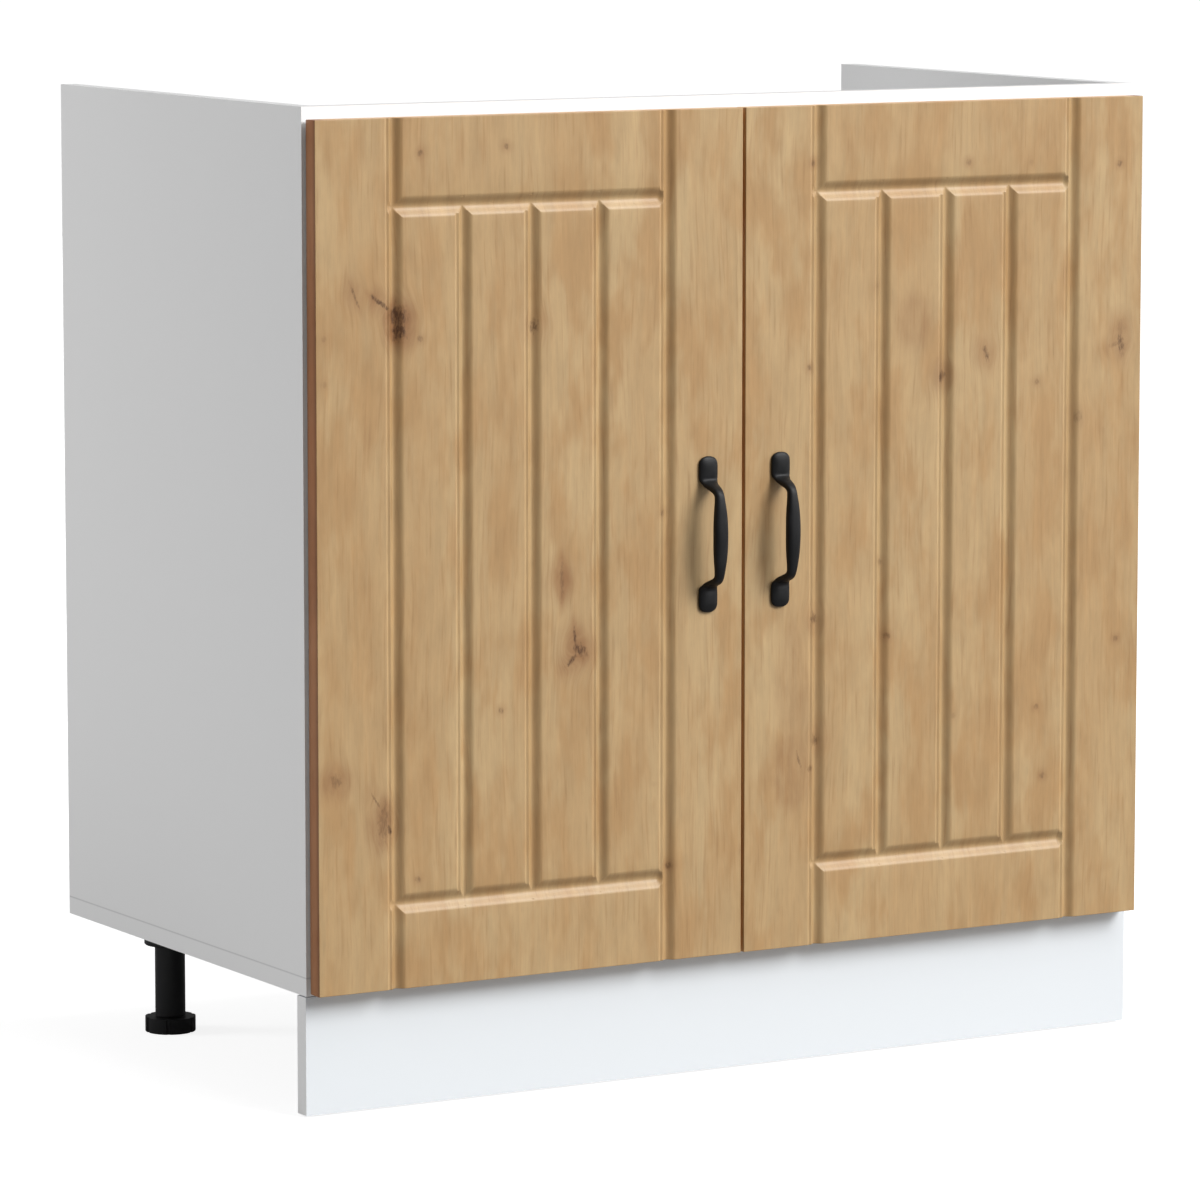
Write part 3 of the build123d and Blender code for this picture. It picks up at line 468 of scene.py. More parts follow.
def melamine(name, colour, ends):
    """White melamine facing: a fine pebble from the press plate, and a touch of cloudiness in its gloss.

    Faces that look sideways have the colour of the ends. A thin grey line marks the joint where the side
    boards stand on the bottom board.
    """
    material, nodes, shader, place = new_material(name)
    pebble = nodes.noise(place, 900, 3, 0.6)
    cloud = nodes.noise(place, 6, 2)
    duller = tuple(0.93 * part for part in colour)
    tint = nodes.mix(nodes.math("MULTIPLY", cloud, 0.12), (*colour, 1), (*duller, 1))
    sideways = nodes.math("ABSOLUTE", nodes.split(nodes.facing())[0])
    # Sideways faces take the ends' colour, so the plinth's painted shade stays off its ends.
    tint = nodes.mix(nodes.step(sideways, 0.6, 0.8), tint, (*ends, 1))
    across, _, up = nodes.split(place)
    inner, _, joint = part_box("side_panel_right")[0]
    near = nodes.step(nodes.math("ABSOLUTE", nodes.math("SUBTRACT", up, joint)), 0.9 * MM, 0.3 * MM)
    on_side = nodes.step(nodes.math("ABSOLUTE", across), inner - 0.3 * MM, inner + 0.3 * MM)
    near = nodes.math("MULTIPLY", near, on_side)
    tint = nodes.mix(nodes.math("MULTIPLY", near, 0.35), tint, (0.3, 0.3, 0.31, 1))
    gloss = nodes.math("ADD", nodes.math("MULTIPLY", cloud, 0.1), nodes.math("MULTIPLY", pebble, 0.1))
    gloss = nodes.math("ADD", gloss, 0.3)
    bump = nodes.bump(0.2, 0.05 * MM, pebble)
    join(nodes, shader, Base_Color=tint, Roughness=gloss, Normal=bump)
    return material


def powder_coat(name, finish):
    """Matt black powder coat: a fine orange peel and slightly worn, greyer high spots."""
    material, nodes, shader, place = new_material(name)
    peel = nodes.noise(place, 1400, 2)
    wear = nodes.noise(place, 90, 3)
    colour = nodes.mix(nodes.step(wear, 0.35, 0.75), (*finish.handle_black, 1), (0.008, 0.008, 0.009, 1))
    rough = nodes.step(wear, 0.2, 0.8, 0.46, 0.56)
    bump = nodes.bump(0.35, 0.08 * MM, peel)
    join(nodes, shader, Base_Color=colour, Roughness=rough, Normal=bump, Specular_IOR_Level=finish.coat_shine)
    return material


def moulded_plastic(name, finish):
    """Black moulded plastic: a faint spark-eroded grain and cloudy flow marks."""
    material, nodes, shader, place = new_material(name)
    grain = nodes.noise(place, 1100, 2)
    flow = nodes.noise(nodes.stretched(place, 1, 1, 0.3), 45, 2, 0.5, 0.6)
    colour = nodes.mix(nodes.step(flow, 0.3, 0.7), (*finish.plastic_black, 1), (0.02, 0.02, 0.021, 1))
    rough = nodes.step(flow, 0.25, 0.75, 0.36, 0.46)
    bump = nodes.bump(0.3, 0.06 * MM, grain)
    join(nodes, shader, Base_Color=colour, Roughness=rough, Normal=bump)
    return material


def plated_metal(name, colour, rough):
    """Plated steel: fine rolling lines, tumbling marks and a slightly uneven gloss."""
    material, nodes, shader, place = new_material(name)
    lines = nodes.noise(nodes.stretched(place, 1, 1, 0.08), 1800, 2)
    marks = nodes.noise(place, 260, 3)
    tint = nodes.mix(nodes.step(marks, 0.3, 0.75), (*colour, 1), tuple(0.78 * part for part in colour) + (1,))
    gloss = nodes.math("ADD", nodes.math("MULTIPLY", marks, 0.16), rough - 0.08)
    bump = nodes.bump(0.15, 0.04 * MM, lines)
    join(nodes, shader, Base_Color=tint, Metallic=1.0, Roughness=gloss, Normal=bump)
    return material


def beech_wood(name):
    """Turned beech: pale, with short darker flecks along its length, which is y."""
    material, nodes, shader, place = new_material(name)
    flecks = nodes.noise(nodes.stretched(place, 1, 0.15, 1), 900, 2)
    colour = nodes.mix(nodes.step(flecks, 0.4, 0.7), (0.62, 0.42, 0.24, 1), (0.46, 0.28, 0.14, 1))
    join(nodes, shader, Base_Color=colour, Roughness=0.6)
    return material


def fibreboard(name):
    """Cut fibreboard: brown felted fibres."""
    material, nodes, shader, place = new_material(name)
    fibres = nodes.noise(place, 1500, 4, 0.7)
    colour = nodes.mix(nodes.step(fibres, 0.3, 0.7), (0.36, 0.23, 0.13, 1), (0.24, 0.15, 0.08, 1))
    join(nodes, shader, Base_Color=colour, Roughness=0.85)
    return material


def dress(node, material):
    """Gives a CAD node's object the material on every slot."""
    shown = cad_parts[node]
    if not shown.material_slots:
        shown.data.materials.append(material)
    for slot in shown.material_slots:
        slot.material = material


def shared(name, maker, *values):
    """The material of that name, made the first time that it is asked for."""
    return bpy.data.materials.get(name) or maker(name, *values)


# ---------------------------------------------------------------- settings

def length(name, description, millimetres):
    """A length setting whose default is given in millimetres."""
    return FloatProperty(
        name=name, description=description, default=millimetres * MM, min=0.0, unit="LENGTH", precision=4
    )


def number(name, description, value, **kind):
    """A plain number setting, or one of the unit or subtype given."""
    return FloatProperty(name=name, description=description, default=value, **kind)


def colour(name, description, value):
    """A colour setting."""
    return FloatVectorProperty(
        name=name, description=description, default=value, size=3, min=0.0, max=2.0, subtype="COLOR"
    )


class SinkUnitFinishes(bpy.types.PropertyGroup):
    """Colours of the finishes, with painted light and shade on the doors' edges and the plinth."""

    oak_light: colour("Oak, Light", "Light bands of the printed oak", (0.420, 0.290, 0.147))
    oak_deep: colour("Oak, Deep", "Deeper bands of the printed oak", (0.388, 0.252, 0.120))
    oak_rosy: colour("Oak, Rosy", "Rosy clouds of the printed oak", (0.362, 0.219, 0.096))
    oak_streak: colour("Oak, Streak", "Reddish streaks of the printed oak", (0.330, 0.180, 0.072))
    oak_brown: colour("Oak, Brown", "Brown round the knots", (0.250, 0.120, 0.047))
    knot_dark: colour("Knot", "Dark middle of the knots", (0.080, 0.033, 0.012))
    # Painted shade: darkens the foil on the doors' outer edges.
    outer_edge_shade: colour("Edge Tint", "Tint of the foil on the doors' outer edges", (0.86, 0.58, 0.54))
    # Painted light: brightens the foil on the doors' edges by the gap, where little light reaches.
    gap_edge_light: colour("Gap Tint", "Tint of the foil on the doors' inner edges", (1.5, 1.35, 1.25))
    foil_gloss: number("Foil Roughness", "Roughness of the oak foil", 0.44)
    foil_shine: number("Foil Shine", "Specular level of the oak foil", 0.4)
    board_white: colour("Board", "White melamine of the boards", (0.87, 0.87, 0.87))
    # Cooler white of the plinth, darkened as painted shade for the less light it gets under the doors.
    plinth_white_and_shade: colour("Plinth", "Cooler white of the plinth", (0.73, 0.76, 0.785))
    handle_black: colour("Handles", "Black powder coat of the handles", (0.004, 0.004, 0.0045))
    coat_shine: number("Coat Shine", "Specular level of the powder coat", 0.24)
    plastic_black: colour("Plastic", "Black plastic of the legs and clips", (0.013, 0.013, 0.014))
    nickel: colour("Nickel", "Plating of the hinges", (0.66, 0.64, 0.60))
    zinc: colour("Zinc", "Plating of the screws", (0.62, 0.64, 0.66))


class SinkUnitDoors(bpy.types.PropertyGroup):
    """Sizes of the doors' grooves and edges."""

    groove_depth: length("Groove Depth", "Depth of a groove's middle below the door's face", 4.2)
    groove_wall: length("Groove Wall", "From an upright groove's middle to the ledge beside its wall", 4.4)
    groove_half: length("Groove Half Width", "From a groove's middle to where it meets the face", 9.3)
    level_stop: length("Level Groove Stop", "From a level groove's right end to the stile groove", 9.0)
    ledge_depth: length("Ledge Depth", "Depth of the outer side of the ledge beside an upright wall", 1.15)
    ledge_brink: length("Ledge Brink", "Depth of the ledge's inner side, where the wall begins", 0.72)
    stile_left: length("Outer Stile Groove", "From the cabinet's middle to the outer stile groove", 326.5)
    stile_right: length("Inner Stile Groove", "From the cabinet's middle to the inner stile groove", 72.5)
    plank: length("Plank Width", "From one panel groove to the next", 63.5)
    top_groove: length("Top Groove Height", "Height of the upper horizontal groove", 734.0)
    bottom_groove: length("Bottom Groove Height", "Height of the lower horizontal groove", 171.5)
    front_round: length("Front Edge Radius", "Radius of the door's front edges", 0.55)
    back_round: length("Back Edge Radius", "Radius of the door's back edges", 1.0)


class SinkUnitHandles(bpy.types.PropertyGroup):
    """Sizes of the bow handles."""

    half_length: length("Half Length", "From the handle's middle to the tip of a pad", 65.0)
    pad_width: length("Pad Width", "Width of a pad", 18.0)
    pad_height: length("Pad Height", "Length of a pad", 23.0)
    pad_arch: length("Pad Arch", "Rise of a pad's arched end", 5.0)
    pad_edge: length("Pad Edge", "Thickness of a pad at its rim", 2.5)
    pad_crown: length("Pad Crown", "Rise of a pad's middle above its rim", 2.1)
    grip_out: length("Grip Distance", "From the door's face to the front of the grip", 26.0)
    grip_width: length("Grip Width", "Width of the grip at its middle", 12.8)
    grip_depth: length("Grip Depth", "Depth of the grip at its middle", 8.8)


class SinkUnitStudio(bpy.types.PropertyGroup):
    """Light and camera."""

    key_strength: number("Key Strength", "Strength of the large soft key light", 3.18)
    key_softness: number("Key Size", "Width of the key light", 0.5, subtype="ANGLE")
    key_turn: number("Key Turn", "Turn of the key light to the right", 0.62, subtype="ANGLE")
    key_height: number("Key Height", "Height of the key light", 0.62, subtype="ANGLE")
    side_power: number("Side Power", "Strength of the soft light on the left", 83.0, unit="POWER")
    right_power: number("Right Power", "Strength of the soft light on the right", 48.0, unit="POWER")
    top_power: number("Top Power", "Strength of the soft light above", 35.0, unit="POWER")
    fill_power: number("Fill Power", "Strength of the low soft light in front", 32.0, unit="POWER")
    sky: number("Sky", "Brightness of the white surroundings as a light", 0.14)
    floor_glow: number("Floor Glow", "Even part of the pale floor's brightness", 0.85)
    lens: number("Lens", "Focal length on a 36 mm wide sensor", 189.62)
    camera_place: FloatVectorProperty(
        name="Camera Place", description="Where the camera stands", unit="LENGTH",
        default=(-2.7116, -4.6422, 1.0654),
    )
    yaw: number("Yaw", "Turn of the camera to the right", 0.5269, subtype="ANGLE")
    pitch: number("Pitch", "Tilt of the camera down", 0.1264, subtype="ANGLE")


# ---------------------------------------------------------------- doors

LEDGE_MIDDLE = 2.1 * MM
LEDGE_END = 3.9 * MM
UPRIGHT_POWER = 1.4
LEVEL_POWER = 1.0
CLOSE_ROW = MM * np.array([
    0, 0.4, 0.8, 1.3, 2.0, 2.8, 3.6, 4.2, 4.4, 4.6, 5.2, 5.8, 6.2, 6.5, 6.8, 7.3, 7.8, 8.2, 8.5, 9.3,
])
WIDE_STEP = 14 * MM
DOOR_OUTER_X = 0.3975
CUP_FROM_EDGE = 0.0205
CUP_HOLE_RADIUS = 0.01749
CUP_HOLE_DEPTH = 0.0125
CUP_PLUG_PAST = 0.004
BACK_SKIN = 0.4 * MM
FOIL_OFFSETS = {"left": 0.3, "right": 1.7}
DOOR_KNOTS = {"left": LEFT_DOOR_KNOTS, "right": RIGHT_DOOR_KNOTS}
MELAMINE_SLOT = 1


def full_turn(count):
    """Angles all the way round in equal steps, with the first not said twice."""
    return np.linspace(0, 2 * math.pi, count + 1)[:-1]


def groove_wave(t, power, door):
    """A groove's soft side: its depth times ((1 + cos(pi t / half width)) / 2) to a power.

    t is the distance to its middle. A power above 1 draws the steep part in to the middle, and one below 1
    pushes it out to the rim.
    """
    wave = (1 + np.cos(math.pi * np.clip(t / door.groove_half, 0, 1))) / 2
    return door.groove_depth * wave**power


def groove_wall(t, door):
    """A groove's stepped side: a short bevel, a ledge that rises a little, and a wall with a round bottom.

    The wall is a straight line in t whose foot bends into the bottom as 1.3 f - 0.3 f to the fourth, with f
    from 0 to 1.
    """
    wall = door.groove_wall
    fall = np.clip(1 - t / wall, 0, 1)
    places = [wall, wall + LEDGE_MIDDLE, wall + LEDGE_END]
    step = np.interp(t, places, [door.ledge_brink, door.ledge_depth, 0.0])
    return step + (door.groove_depth - door.ledge_brink) * (1.3 * fall - 0.3 * fall**4)


def groove_depths(x, z, mirror, door):
    """Depth of the grooves at x and z of the left door, or with mirror -1 of the right one turned over.

    An upright groove has its stepped side on the left and its soft side on the right, as seen from the front.
    A level groove is soft on both sides, starts in the left stile's groove and stops at the right one's ledge.
    Where grooves meet, the deepest counts.
    """
    left, right = -door.stile_left, -door.stile_right
    first = left + (door.level_stop if mirror < 0 else 0)
    last = right - (door.level_stop if mirror > 0 else 0)
    panel_x = np.clip(x, first, last)
    panel_z = np.clip(z, door.bottom_groove, door.top_groove)
    depth = np.zeros_like(x)
    for plank in range(5):
        middle = left + plank * door.plank if plank < 4 else right
        beyond = z - panel_z if 0 < plank < 4 else 0.0
        t = np.hypot(x - middle, beyond)
        stepped = mirror * (x - middle) < 0
        upright = np.where(stepped, groove_wall(t, door), groove_wave(t, UPRIGHT_POWER, door))
        depth = np.maximum(depth, upright)
    h = np.minimum(np.hypot(x - panel_x, z - door.bottom_groove), np.hypot(x - panel_x, z - door.top_groove))
    return np.maximum(depth, groove_wave(h, LEVEL_POWER, door))


def groove_row(middles, low, high):
    """Coordinates from low to high: close together over the width of each groove and wide apart between."""
    close = np.concatenate([middle + side * CLOSE_ROW for middle in middles for side in (-1, 1)])
    wide = np.linspace(low, high, int((high - low) / WIDE_STEP))
    apart = np.min(np.abs(wide[:, None] - close[None, :]), axis=1) > 0.35 * WIDE_STEP
    return np.concatenate([close, wide[apart]])


def door_skin(side, door):
    """A door: the skin of a block with rounded edges, squeezed towards the back by the grooves."""
    low, high = (np.array(corner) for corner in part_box(f"door_{side}"))
    sign = 1 if side == "left" else -1
    stiles = [-sign * door.stile_left, -sign * door.stile_right]
    planks = [-sign * (door.stile_left - plank * door.plank) for plank in (1, 2, 3)]
    edge = door.front_round
    inset = 1.2 * edge
    xs = edge_row(low[0], high[0], edge, groove_row(stiles + planks, low[0] + inset, high[0] - inset))
    levels = [door.bottom_groove, door.top_groove]
    zs = edge_row(low[2], high[2], edge, groove_row(levels, low[2] + inset, high[2] - inset))
    ys = edge_row(low[1], high[1], edge, np.linspace(low[1] + 1.4 * edge, high[1] - 1.4 * edge, 4))
    points, quads = box_skin(xs, ys, zs)
    through = np.clip((points[:, 1:2] - low[1] - edge) / (high[1] - low[1] - 2 * edge), 0, 1)
    radius = door.front_round + (door.back_round - door.front_round) * through
    points = rounded(points, low, high, radius)
    depth = groove_depths(points[:, 0] * sign, points[:, 2], sign, door)
    thickness = high[1] - low[1]
    points[:, 1] = high[1] - (high[1] - points[:, 1]) * (thickness - depth) / thickness
    return points, quads


def cup_cutter(name, centre):
    """A round plug for a hinge cup's hole: a ring of points carried from its bottom past the door's back."""
    turn = full_turn(96)
    rings = []
    for reach, y in (
        (0.0, -CUP_HOLE_DEPTH), (CUP_HOLE_RADIUS, -CUP_HOLE_DEPTH), (CUP_HOLE_RADIUS, CUP_PLUG_PAST),
        (0.0, CUP_PLUG_PAST),
    ):
        ring = np.stack([reach * np.cos(turn), np.full_like(turn, y), reach * np.sin(turn)], axis=1)
        rings.append(ring + centre)
    points = np.concatenate(rings)
    quads = grid_quads(4, len(turn), ring=True)
    plug = mesh_object(name, points, quads, smooth=False)
    weld = plug.modifiers.new("weld", "WELD")
    weld.merge_threshold = 1e-5
    apply_modifiers(plug)
    return plug


def door_piece(side):
    """One door: its skin, its two hinge cup holes, oak on the face and edges, and white on the back."""
    settings = bpy.context.scene.sink_unit_doors
    finish = bpy.context.scene.sink_unit_finishes
    points, quads = door_skin(side, settings)
    made = mesh_object(f"oak_door_{side}", points, quads)
    made.data.materials.append(oak_foil(f"oak foil {side}", DOOR_KNOTS[side], finish, FOIL_OFFSETS[side]))
    made.data.materials.append(shared("white melamine", melamine, finish.board_white, finish.board_white))
    made.data.materials.append(shared("cut fibreboard", fibreboard))
    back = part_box(f"door_{side}")[1][1]
    for level in LEVELS:
        low, high = (np.array(corner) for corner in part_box(f"hinge_cup_{level}_{side}"))
        sign = -1 if side == "left" else 1
        centre = np.array([sign * (DOOR_OUTER_X - CUP_FROM_EDGE), back, (low[2] + high[2]) / 2])
        plug = cup_cutter(f"cup_plug_{level}_{side}", centre)
        plug.data.materials.append(bpy.data.materials["cut fibreboard"])
        cut = made.modifiers.new(f"cup {level}", "BOOLEAN")
        cut.operation = "DIFFERENCE"
        cut.solver = "EXACT"
        cut.object = plug
        cut.material_mode = "TRANSFER"
    apply_modifiers(made)
    for level in LEVELS:
        bpy.data.objects.remove(bpy.data.objects[f"cup_plug_{level}_{side}"])
    mesh = made.data
    normals = np.empty(len(mesh.polygons) * 3)
    middles = np.empty(len(mesh.polygons) * 3)
    mesh.polygons.foreach_get("normal", normals)
    mesh.polygons.foreach_get("center", middles)
    index = np.empty(len(mesh.polygons), dtype=np.int32)
    mesh.polygons.foreach_get("material_index", index)
    on_back = (normals[1::3] > 0.9) & (middles[1::3] > back - BACK_SKIN)
    mesh.polygons.foreach_set("material_index", np.where(on_back, MELAMINE_SLOT, index).astype(np.int32))
    mesh.update()
    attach(made, f"{side}_door")
    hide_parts(f"door_{side}")


# ---------------------------------------------------------------- handles

BOW_ROWS = 120
SECTION_POINTS = 48
PAD_POINTS = 96
SECTION_POWER = 2 / 2.7
MELT_GRID = 0.55 * MM
SOFTEN_STEPS = 30


def bow_skin(settings):
    """The neck and grip: a rounded box section carried along a bow in the plane of y and z.

    Each row of the spline holds the height, the distance out, the width and the depth of the section. The
    section's outline is a superellipse, and it stands square to the bow's own line.
    """
    out = settings.grip_out - settings.grip_depth / 2
    width, depth = settings.grip_width, settings.grip_depth
    half = MM * np.array([
        [49.0, 1.8, 16.6, 3.2], [46.0, 2.2, 16.6, 3.6], [43.3, 3.2, 16.0, 4.4], [41.0, 6.4, 13.6, 5.2],
        [39.0, 11.6, 11.2, 5.7], [37.0, 16.2, 9.4, 6.0], [33.6, 19.2, 8.4, 6.4], [27.0, 20.4, 9.6, 7.3],
    ])
    middle = np.array([
        [19 * MM, out - 0.6 * MM, 0.89 * width, 0.93 * depth],
        [9.5 * MM, out - 0.2 * MM, 0.98 * width, 0.99 * depth],
        [0, out, width, depth],
    ])
    half = np.concatenate([half, middle])
    other = half[-2::-1] * np.array([-1, 1, 1, 1])
    line = spline(np.concatenate([half, other]), BOW_ROWS)
    along = np.gradient(line[:, :2], axis=0)
    along /= np.linalg.norm(along, axis=1, keepdims=True)
    turn = full_turn(SECTION_POINTS)
    u = np.sign(np.cos(turn)) * np.abs(np.cos(turn)) ** SECTION_POWER / 2
    v = np.sign(np.sin(turn)) * np.abs(np.sin(turn)) ** SECTION_POWER / 2
    x = line[:, 2:3] * u
    lift = line[:, 3:4] * v
    z = line[:, 0:1] - along[:, 1:2] * lift
    away = line[:, 1:2] + along[:, 0:1] * lift
    rings = np.stack([x, away, z], axis=-1)
    ends = np.stack([np.zeros((2, 1)), line[[0, -1], 1:2], line[[0, -1], 0:1]], axis=-1)
    ends = np.repeat(ends, SECTION_POINTS, axis=1)
    rings = np.concatenate([ends[:1], rings, ends[1:]])
    return rings.reshape(-1, 3), grid_quads(len(rings), SECTION_POINTS, ring=True)


def pad_skin(settings, side):
    """A pad: rings of an arched outline, scaled in towards its middle, that rise over the rim to a low dome.

    The outline's half width is that of a superellipse towards the neck and of an arch at the outer end.
    """
    turn = full_turn(PAD_POINTS)
    half_width = settings.pad_width / 2
    half_height = settings.pad_height / 2
    middle = settings.half_length - half_height
    c, s = np.cos(turn), np.sin(turn)
    x = half_width * np.sign(c) * np.abs(c) ** 0.42
    inner = -half_height * np.abs(s) ** 0.42
    shoulder = half_height - settings.pad_arch
    arch = np.sqrt(np.maximum(0, 1 - (x / half_width) ** 2))
    outer = shoulder * np.abs(s) ** 0.3 + settings.pad_arch * arch
    z = np.where(s < 0, inner, np.minimum(outer, half_height))
    z = np.where((s >= 0) & (np.abs(c) > 0.999), 0, z)
    rows = []
    rim, crown = settings.pad_edge, settings.pad_crown
    for scale, out in (
        (0.0, 0.0), (1.0, 0.0), (1.0, rim - 0.7 * MM), (0.985, rim - 0.25 * MM), (0.94, rim + 0.08 * crown),
        (0.82, rim + 0.38 * crown), (0.65, rim + 0.66 * crown), (0.4, rim + 0.9 * crown), (0.0, rim + crown),
    ):
        rows.append(np.stack([scale * x, np.full_like(x, out), side * (middle + scale * z)], axis=1))
    points = np.concatenate(rows)
    quads = grid_quads(len(rows), len(turn), ring=True)
    return points, quads if side > 0 else quads[:, ::-1]


def handle_piece(side):
    """One handle: bow and pads melted into one casting by a fine remesh and a light smoothing."""
    settings = bpy.context.scene.sink_unit_handles
    finish = bpy.context.scene.sink_unit_finishes
    low, high = (np.array(corner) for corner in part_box(f"handle_{side}"))
    centre = (low + high) / 2
    face = high[1]
    parts = [bow_skin(settings), pad_skin(settings, 1), pad_skin(settings, -1)]
    points = []
    quads = []
    count = 0
    for part_points, part_quads in parts:
        points.append(part_points)
        quads.append(part_quads + count)
        count += len(part_points)
    points = np.concatenate(points)
    points = np.stack([centre[0] + points[:, 0], face - points[:, 1], centre[2] + points[:, 2]], axis=1)
    made = mesh_object(f"bow_handle_{side}", points, np.concatenate(quads))
    made.modifiers.new("weld", "WELD").merge_threshold = 1e-6
    apply_modifiers(made)
    remesh = made.modifiers.new("melt", "REMESH")
    remesh.mode = "VOXEL"
    remesh.voxel_size = MELT_GRID
    remesh.use_smooth_shade = True
    soften = made.modifiers.new("soften", "SMOOTH")
    soften.factor = 0.5
    soften.iterations = SOFTEN_STEPS
    apply_modifiers(made)
    mesh = made.data
    flat = np.empty(len(mesh.vertices) * 3)
    mesh.vertices.foreach_get("co", flat)
    flat[1::3] = np.minimum(flat[1::3], face)
    mesh.vertices.foreach_set("co", flat)
    mesh.update()
    made.data.materials.clear()
    made.data.materials.append(shared("black powder coat", powder_coat, finish))
    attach(made, f"{side}_door")
    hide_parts(f"handle_{side}")


# ---------------------------------------------------------------- operators

class SINKUNIT_OT_doors(bpy.types.Operator):
    """Make both oak doors"""

    bl_idname = "sinkunit.doors"
    bl_label = "Make Doors"

    def execute(self, context):
        for side in SIDES:
            door_piece(side)
        return {"FINISHED"}


class SINKUNIT_OT_handles(bpy.types.Operator):
    """Make both bow handles"""

    bl_idname = "sinkunit.handles"
    bl_label = "Make Handles"

    def execute(self, context):
        for side in SIDES:
            handle_piece(side)
        return {"FINISHED"}


class SINKUNIT_OT_carcass(bpy.types.Operator):
    """Finish the white boards of the carcass and the plinth"""

    bl_idname = "sinkunit.carcass"
    bl_label = "Finish Boards"

    def execute(self, context):
        finish = context.scene.sink_unit_finishes
        for node in ("side_panel_left", "side_panel_right", "bottom_panel", "front_rail", "back_rail"):
            dress(node, shared("white melamine", melamine, finish.board_white, finish.board_white))
        # The plinth's front has a cooler white with painted shade; its ends keep the board's white.
        dress("plinth", shared("cool white melamine with painted shade", melamine, finish.plinth_white_and_shade, finish.board_white))
        return {"FINISHED"}


class SINKUNIT_OT_legs(bpy.types.Operator):
    """Finish the plastic legs, feet and plinth clips"""

    bl_idname = "sinkunit.legs"
    bl_label = "Finish Legs"

    def execute(self, context):
        finish = context.scene.sink_unit_finishes
        plastic = shared("black moulded plastic", moulded_plastic, finish)
        for row in ROWS:
            for side in SIDES:
                for part in ("leg_plate", "leg_tube", "foot_stem", "foot"):
                    dress(f"{part}_{row}_{side}", plastic)
        for side in SIDES:
            dress(f"plinth_clip_{side}", plastic)
        return {"FINISHED"}


class SINKUNIT_OT_fittings(bpy.types.Operator):
    """Finish the hinges, screws, cams and dowels"""

    bl_idname = "sinkunit.fittings"
    bl_label = "Finish Fittings"

    def execute(self, context):
        finish = context.scene.sink_unit_finishes
        nickel = shared("nickel plate", plated_metal, tuple(finish.nickel), 0.3)
        zinc = shared("zinc plate", plated_metal, tuple(finish.zinc), 0.38)
        for side in SIDES:
            for level in LEVELS:
                for part in ("hinge_cup", "hinge_arm", "hinge_plate"):
                    dress(f"{part}_{level}_{side}", nickel)
            dress(f"hinge_pins_{side}", nickel)
            dress(f"cup_screws_{side}", zinc)
            dress(f"handle_screws_{side}", zinc)
        for node in (
            "cam_locks", "cam_bolts", "bottom_screws", "leg_plate_screws", "plinth_clip_screws",
            "hinge_plate_screws", "hinge_arm_screws",
        ):
            dress(node, zinc)
        dress("wooden_dowels", shared("turned beech", beech_wood))
        return {"FINISHED"}


FLOOR_REACH = 9.0
FLOOR_POINTS = 7
DOORS_MIDDLE = (0, -0.2, 0.45)


def area_light(name, power, size, place, target):
    """A round soft light at a place, turned to face a target and not seen by the camera."""
    light = bpy.data.lights.new(name, "AREA")
    light.energy = power
    light.shape = "DISK"
    light.size = size
    lamp = bpy.data.objects.new(name, light)
    bpy.context.scene.collection.objects.link(lamp)
    place = np.array(place)
    away = place - np.array(target)
    away /= np.linalg.norm(away)
    lamp.visible_camera = False
    lamp.location = place
    lamp.rotation_euler = (math.acos(away[2]), 0, math.atan2(away[1], away[0]) + math.pi / 2)
    return lamp


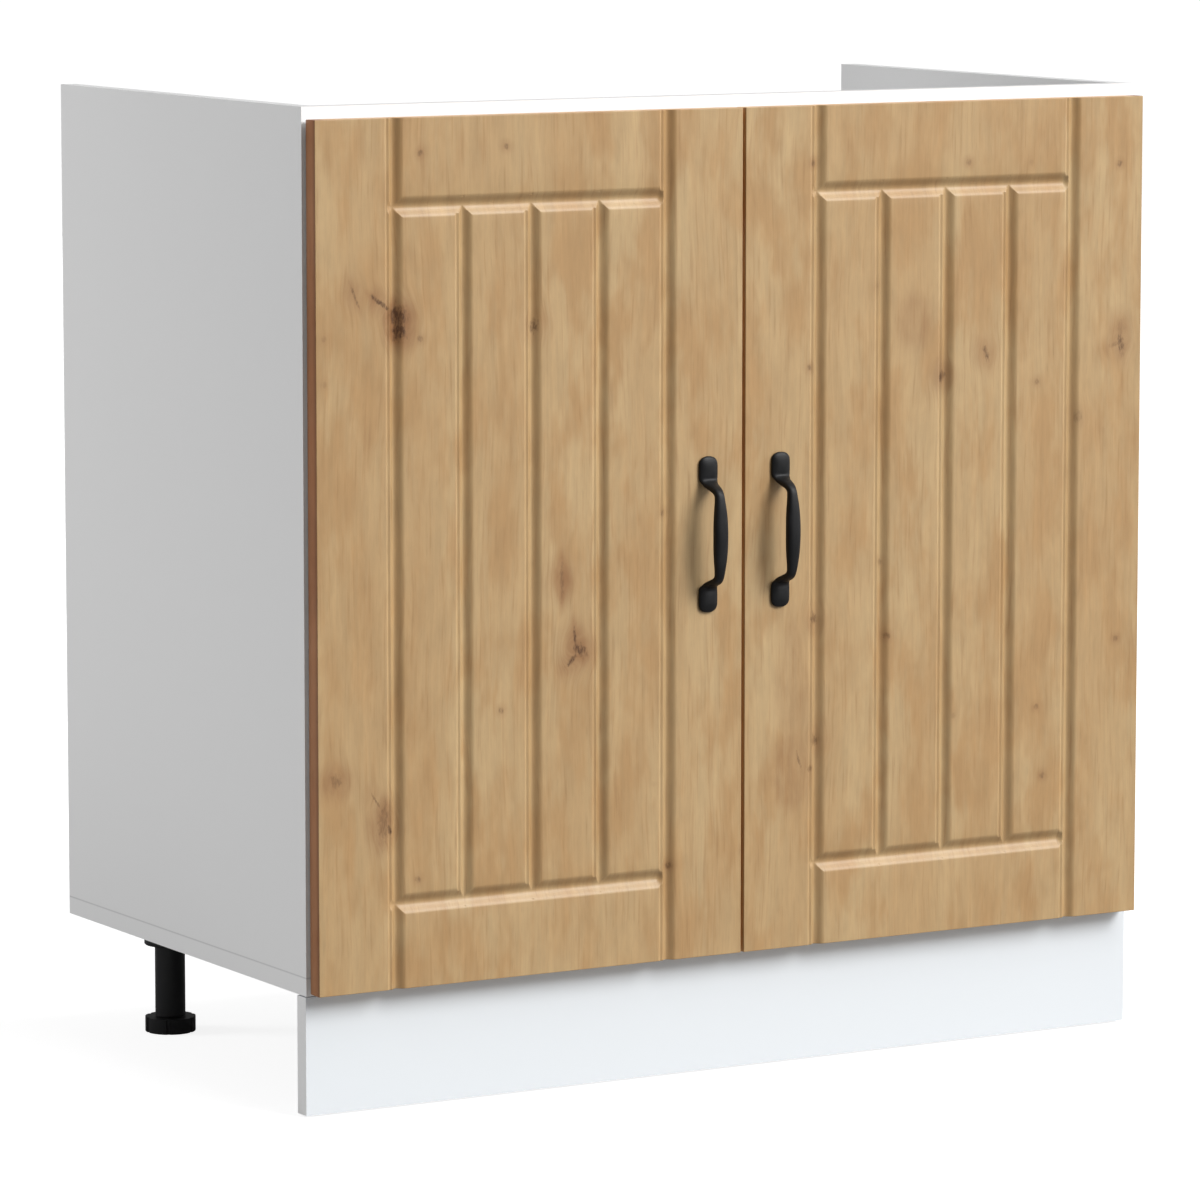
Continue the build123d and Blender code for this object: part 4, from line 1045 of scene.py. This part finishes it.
class SINKUNIT_OT_studio(bpy.types.Operator):
    """Make the floor, lights and camera"""

    bl_idname = "sinkunit.studio"
    bl_label = "Make Studio"

    def execute(self, context):
        scene = context.scene
        studio = scene.sink_unit_studio
        xs = np.linspace(-FLOOR_REACH, FLOOR_REACH, FLOOR_POINTS)
        x, y = np.meshgrid(xs, xs, indexing="ij")
        points = np.stack([x, y, np.zeros_like(x)], axis=-1).reshape(-1, 3)
        floor = mesh_object("studio_floor", points, grid_quads(FLOOR_POINTS, FLOOR_POINTS))
        material, nodes, shader, place = new_material("pale floor")
        speckle = nodes.noise(place, 40, 3)
        tint = nodes.mix(nodes.math("MULTIPLY", speckle, 0.1), (0.5, 0.5, 0.5, 1), (0.46, 0.46, 0.46, 1))
        join(nodes, shader, Base_Color=tint, Roughness=0.9, Emission_Color=(1, 1, 1, 1))
        join(nodes, shader, Emission_Strength=studio.floor_glow, Specular_IOR_Level=0.1)
        dim = nodes.add("ShaderNodeBsdfDiffuse", {"Color": (0.32, 0.32, 0.32, 1)}).outputs[0]
        seen = nodes.add("ShaderNodeLightPath").outputs["Is Camera Ray"]
        both = nodes.add("ShaderNodeMixShader", {0: seen, 1: dim, 2: shader.outputs[0]}).outputs[0]
        nodes.tree.links.new(both, nodes.tree.nodes["Material Output"].inputs["Surface"])
        floor.data.materials.append(material)
        key = bpy.data.lights.new("key", "SUN")
        key.energy = studio.key_strength
        key.angle = studio.key_softness
        lamp = bpy.data.objects.new("key", key)
        scene.collection.objects.link(lamp)
        lamp.rotation_euler = (math.pi / 2 - studio.key_height, 0, studio.key_turn)
        area_light("fill", studio.fill_power, 3.6, (2.4, -3.6, 0.8), DOORS_MIDDLE)
        area_light("right", studio.right_power, 2.4, (4.2, -1.1, 1.5), DOORS_MIDDLE)
        area_light("top", studio.top_power, 2.0, (0.6, -1.7, 3.2), DOORS_MIDDLE)
        side = area_light("side", studio.side_power, 1.9, (-3.7, 2.2, 0.97), (0, 0, 0.4))
        side.visible_glossy = False
        world = bpy.data.worlds.new("white room")
        world.use_nodes = True
        world.node_tree.nodes.clear()
        sky = Nodes(world.node_tree)
        seen = sky.add("ShaderNodeLightPath").outputs["Is Camera Ray"]
        soft = sky.add("ShaderNodeBackground", {"Color": (1, 1, 1, 1), "Strength": studio.sky}).outputs[0]
        white = sky.add("ShaderNodeBackground", {"Color": (1, 1, 1, 1), "Strength": 1.05}).outputs[0]
        both = sky.add("ShaderNodeMixShader", {0: seen, 1: soft, 2: white}).outputs[0]
        sky.add("ShaderNodeOutputWorld", {"Surface": both})
        scene.world = world
        scene.view_settings.view_transform = "Standard"
        lens = bpy.data.cameras.new("photo camera")
        lens.sensor_fit = "HORIZONTAL"
        lens.sensor_width = SENSOR_WIDTH
        lens.lens = studio.lens
        lens.clip_end = 60.0
        camera = bpy.data.objects.new("photo camera", lens)
        scene.collection.objects.link(camera)
        camera.location = studio.camera_place
        camera.rotation_euler = (math.pi / 2 - studio.pitch, 0, -studio.yaw)
        scene.camera = camera
        return {"FINISHED"}


class SINKUNIT_PT_panel(bpy.types.Panel):
    """The steps and settings of the sink unit"""

    bl_idname = "SINKUNIT_PT_panel"
    bl_label = "Sink Unit"
    bl_space_type = "VIEW_3D"
    bl_region_type = "UI"
    bl_category = "Sink Unit"

    def draw(self, context):
        for step in STEPS:
            self.layout.operator(step.bl_idname)
        for name in SETTINGS:
            group = getattr(context.scene, name)
            box = self.layout.box()
            for key in group.bl_rna.properties.keys():
                if key not in ("rna_type", "name"):
                    box.prop(group, key)


STEPS = (
    SINKUNIT_OT_studio, SINKUNIT_OT_carcass, SINKUNIT_OT_doors, SINKUNIT_OT_handles, SINKUNIT_OT_legs,
    SINKUNIT_OT_fittings,
)
SETTINGS = {
    "sink_unit_finishes": SinkUnitFinishes,
    "sink_unit_doors": SinkUnitDoors,
    "sink_unit_handles": SinkUnitHandles,
    "sink_unit_studio": SinkUnitStudio,
}


def register():
    for name, group in SETTINGS.items():
        bpy.utils.register_class(group)
        setattr(bpy.types.Scene, name, PointerProperty(type=group))
    for step in STEPS:
        bpy.utils.register_class(step)
    bpy.utils.register_class(SINKUNIT_PT_panel)


def unregister():
    bpy.utils.unregister_class(SINKUNIT_PT_panel)
    for step in reversed(STEPS):
        bpy.utils.unregister_class(step)
    for name, group in SETTINGS.items():
        delattr(bpy.types.Scene, name)
        bpy.utils.unregister_class(group)


def main():
    register()
    bpy.ops.sinkunit.studio()
    bpy.ops.sinkunit.carcass()
    bpy.ops.sinkunit.doors()
    bpy.ops.sinkunit.handles()
    bpy.ops.sinkunit.legs()
    bpy.ops.sinkunit.fittings()


if __name__ == "__main__":
    main()
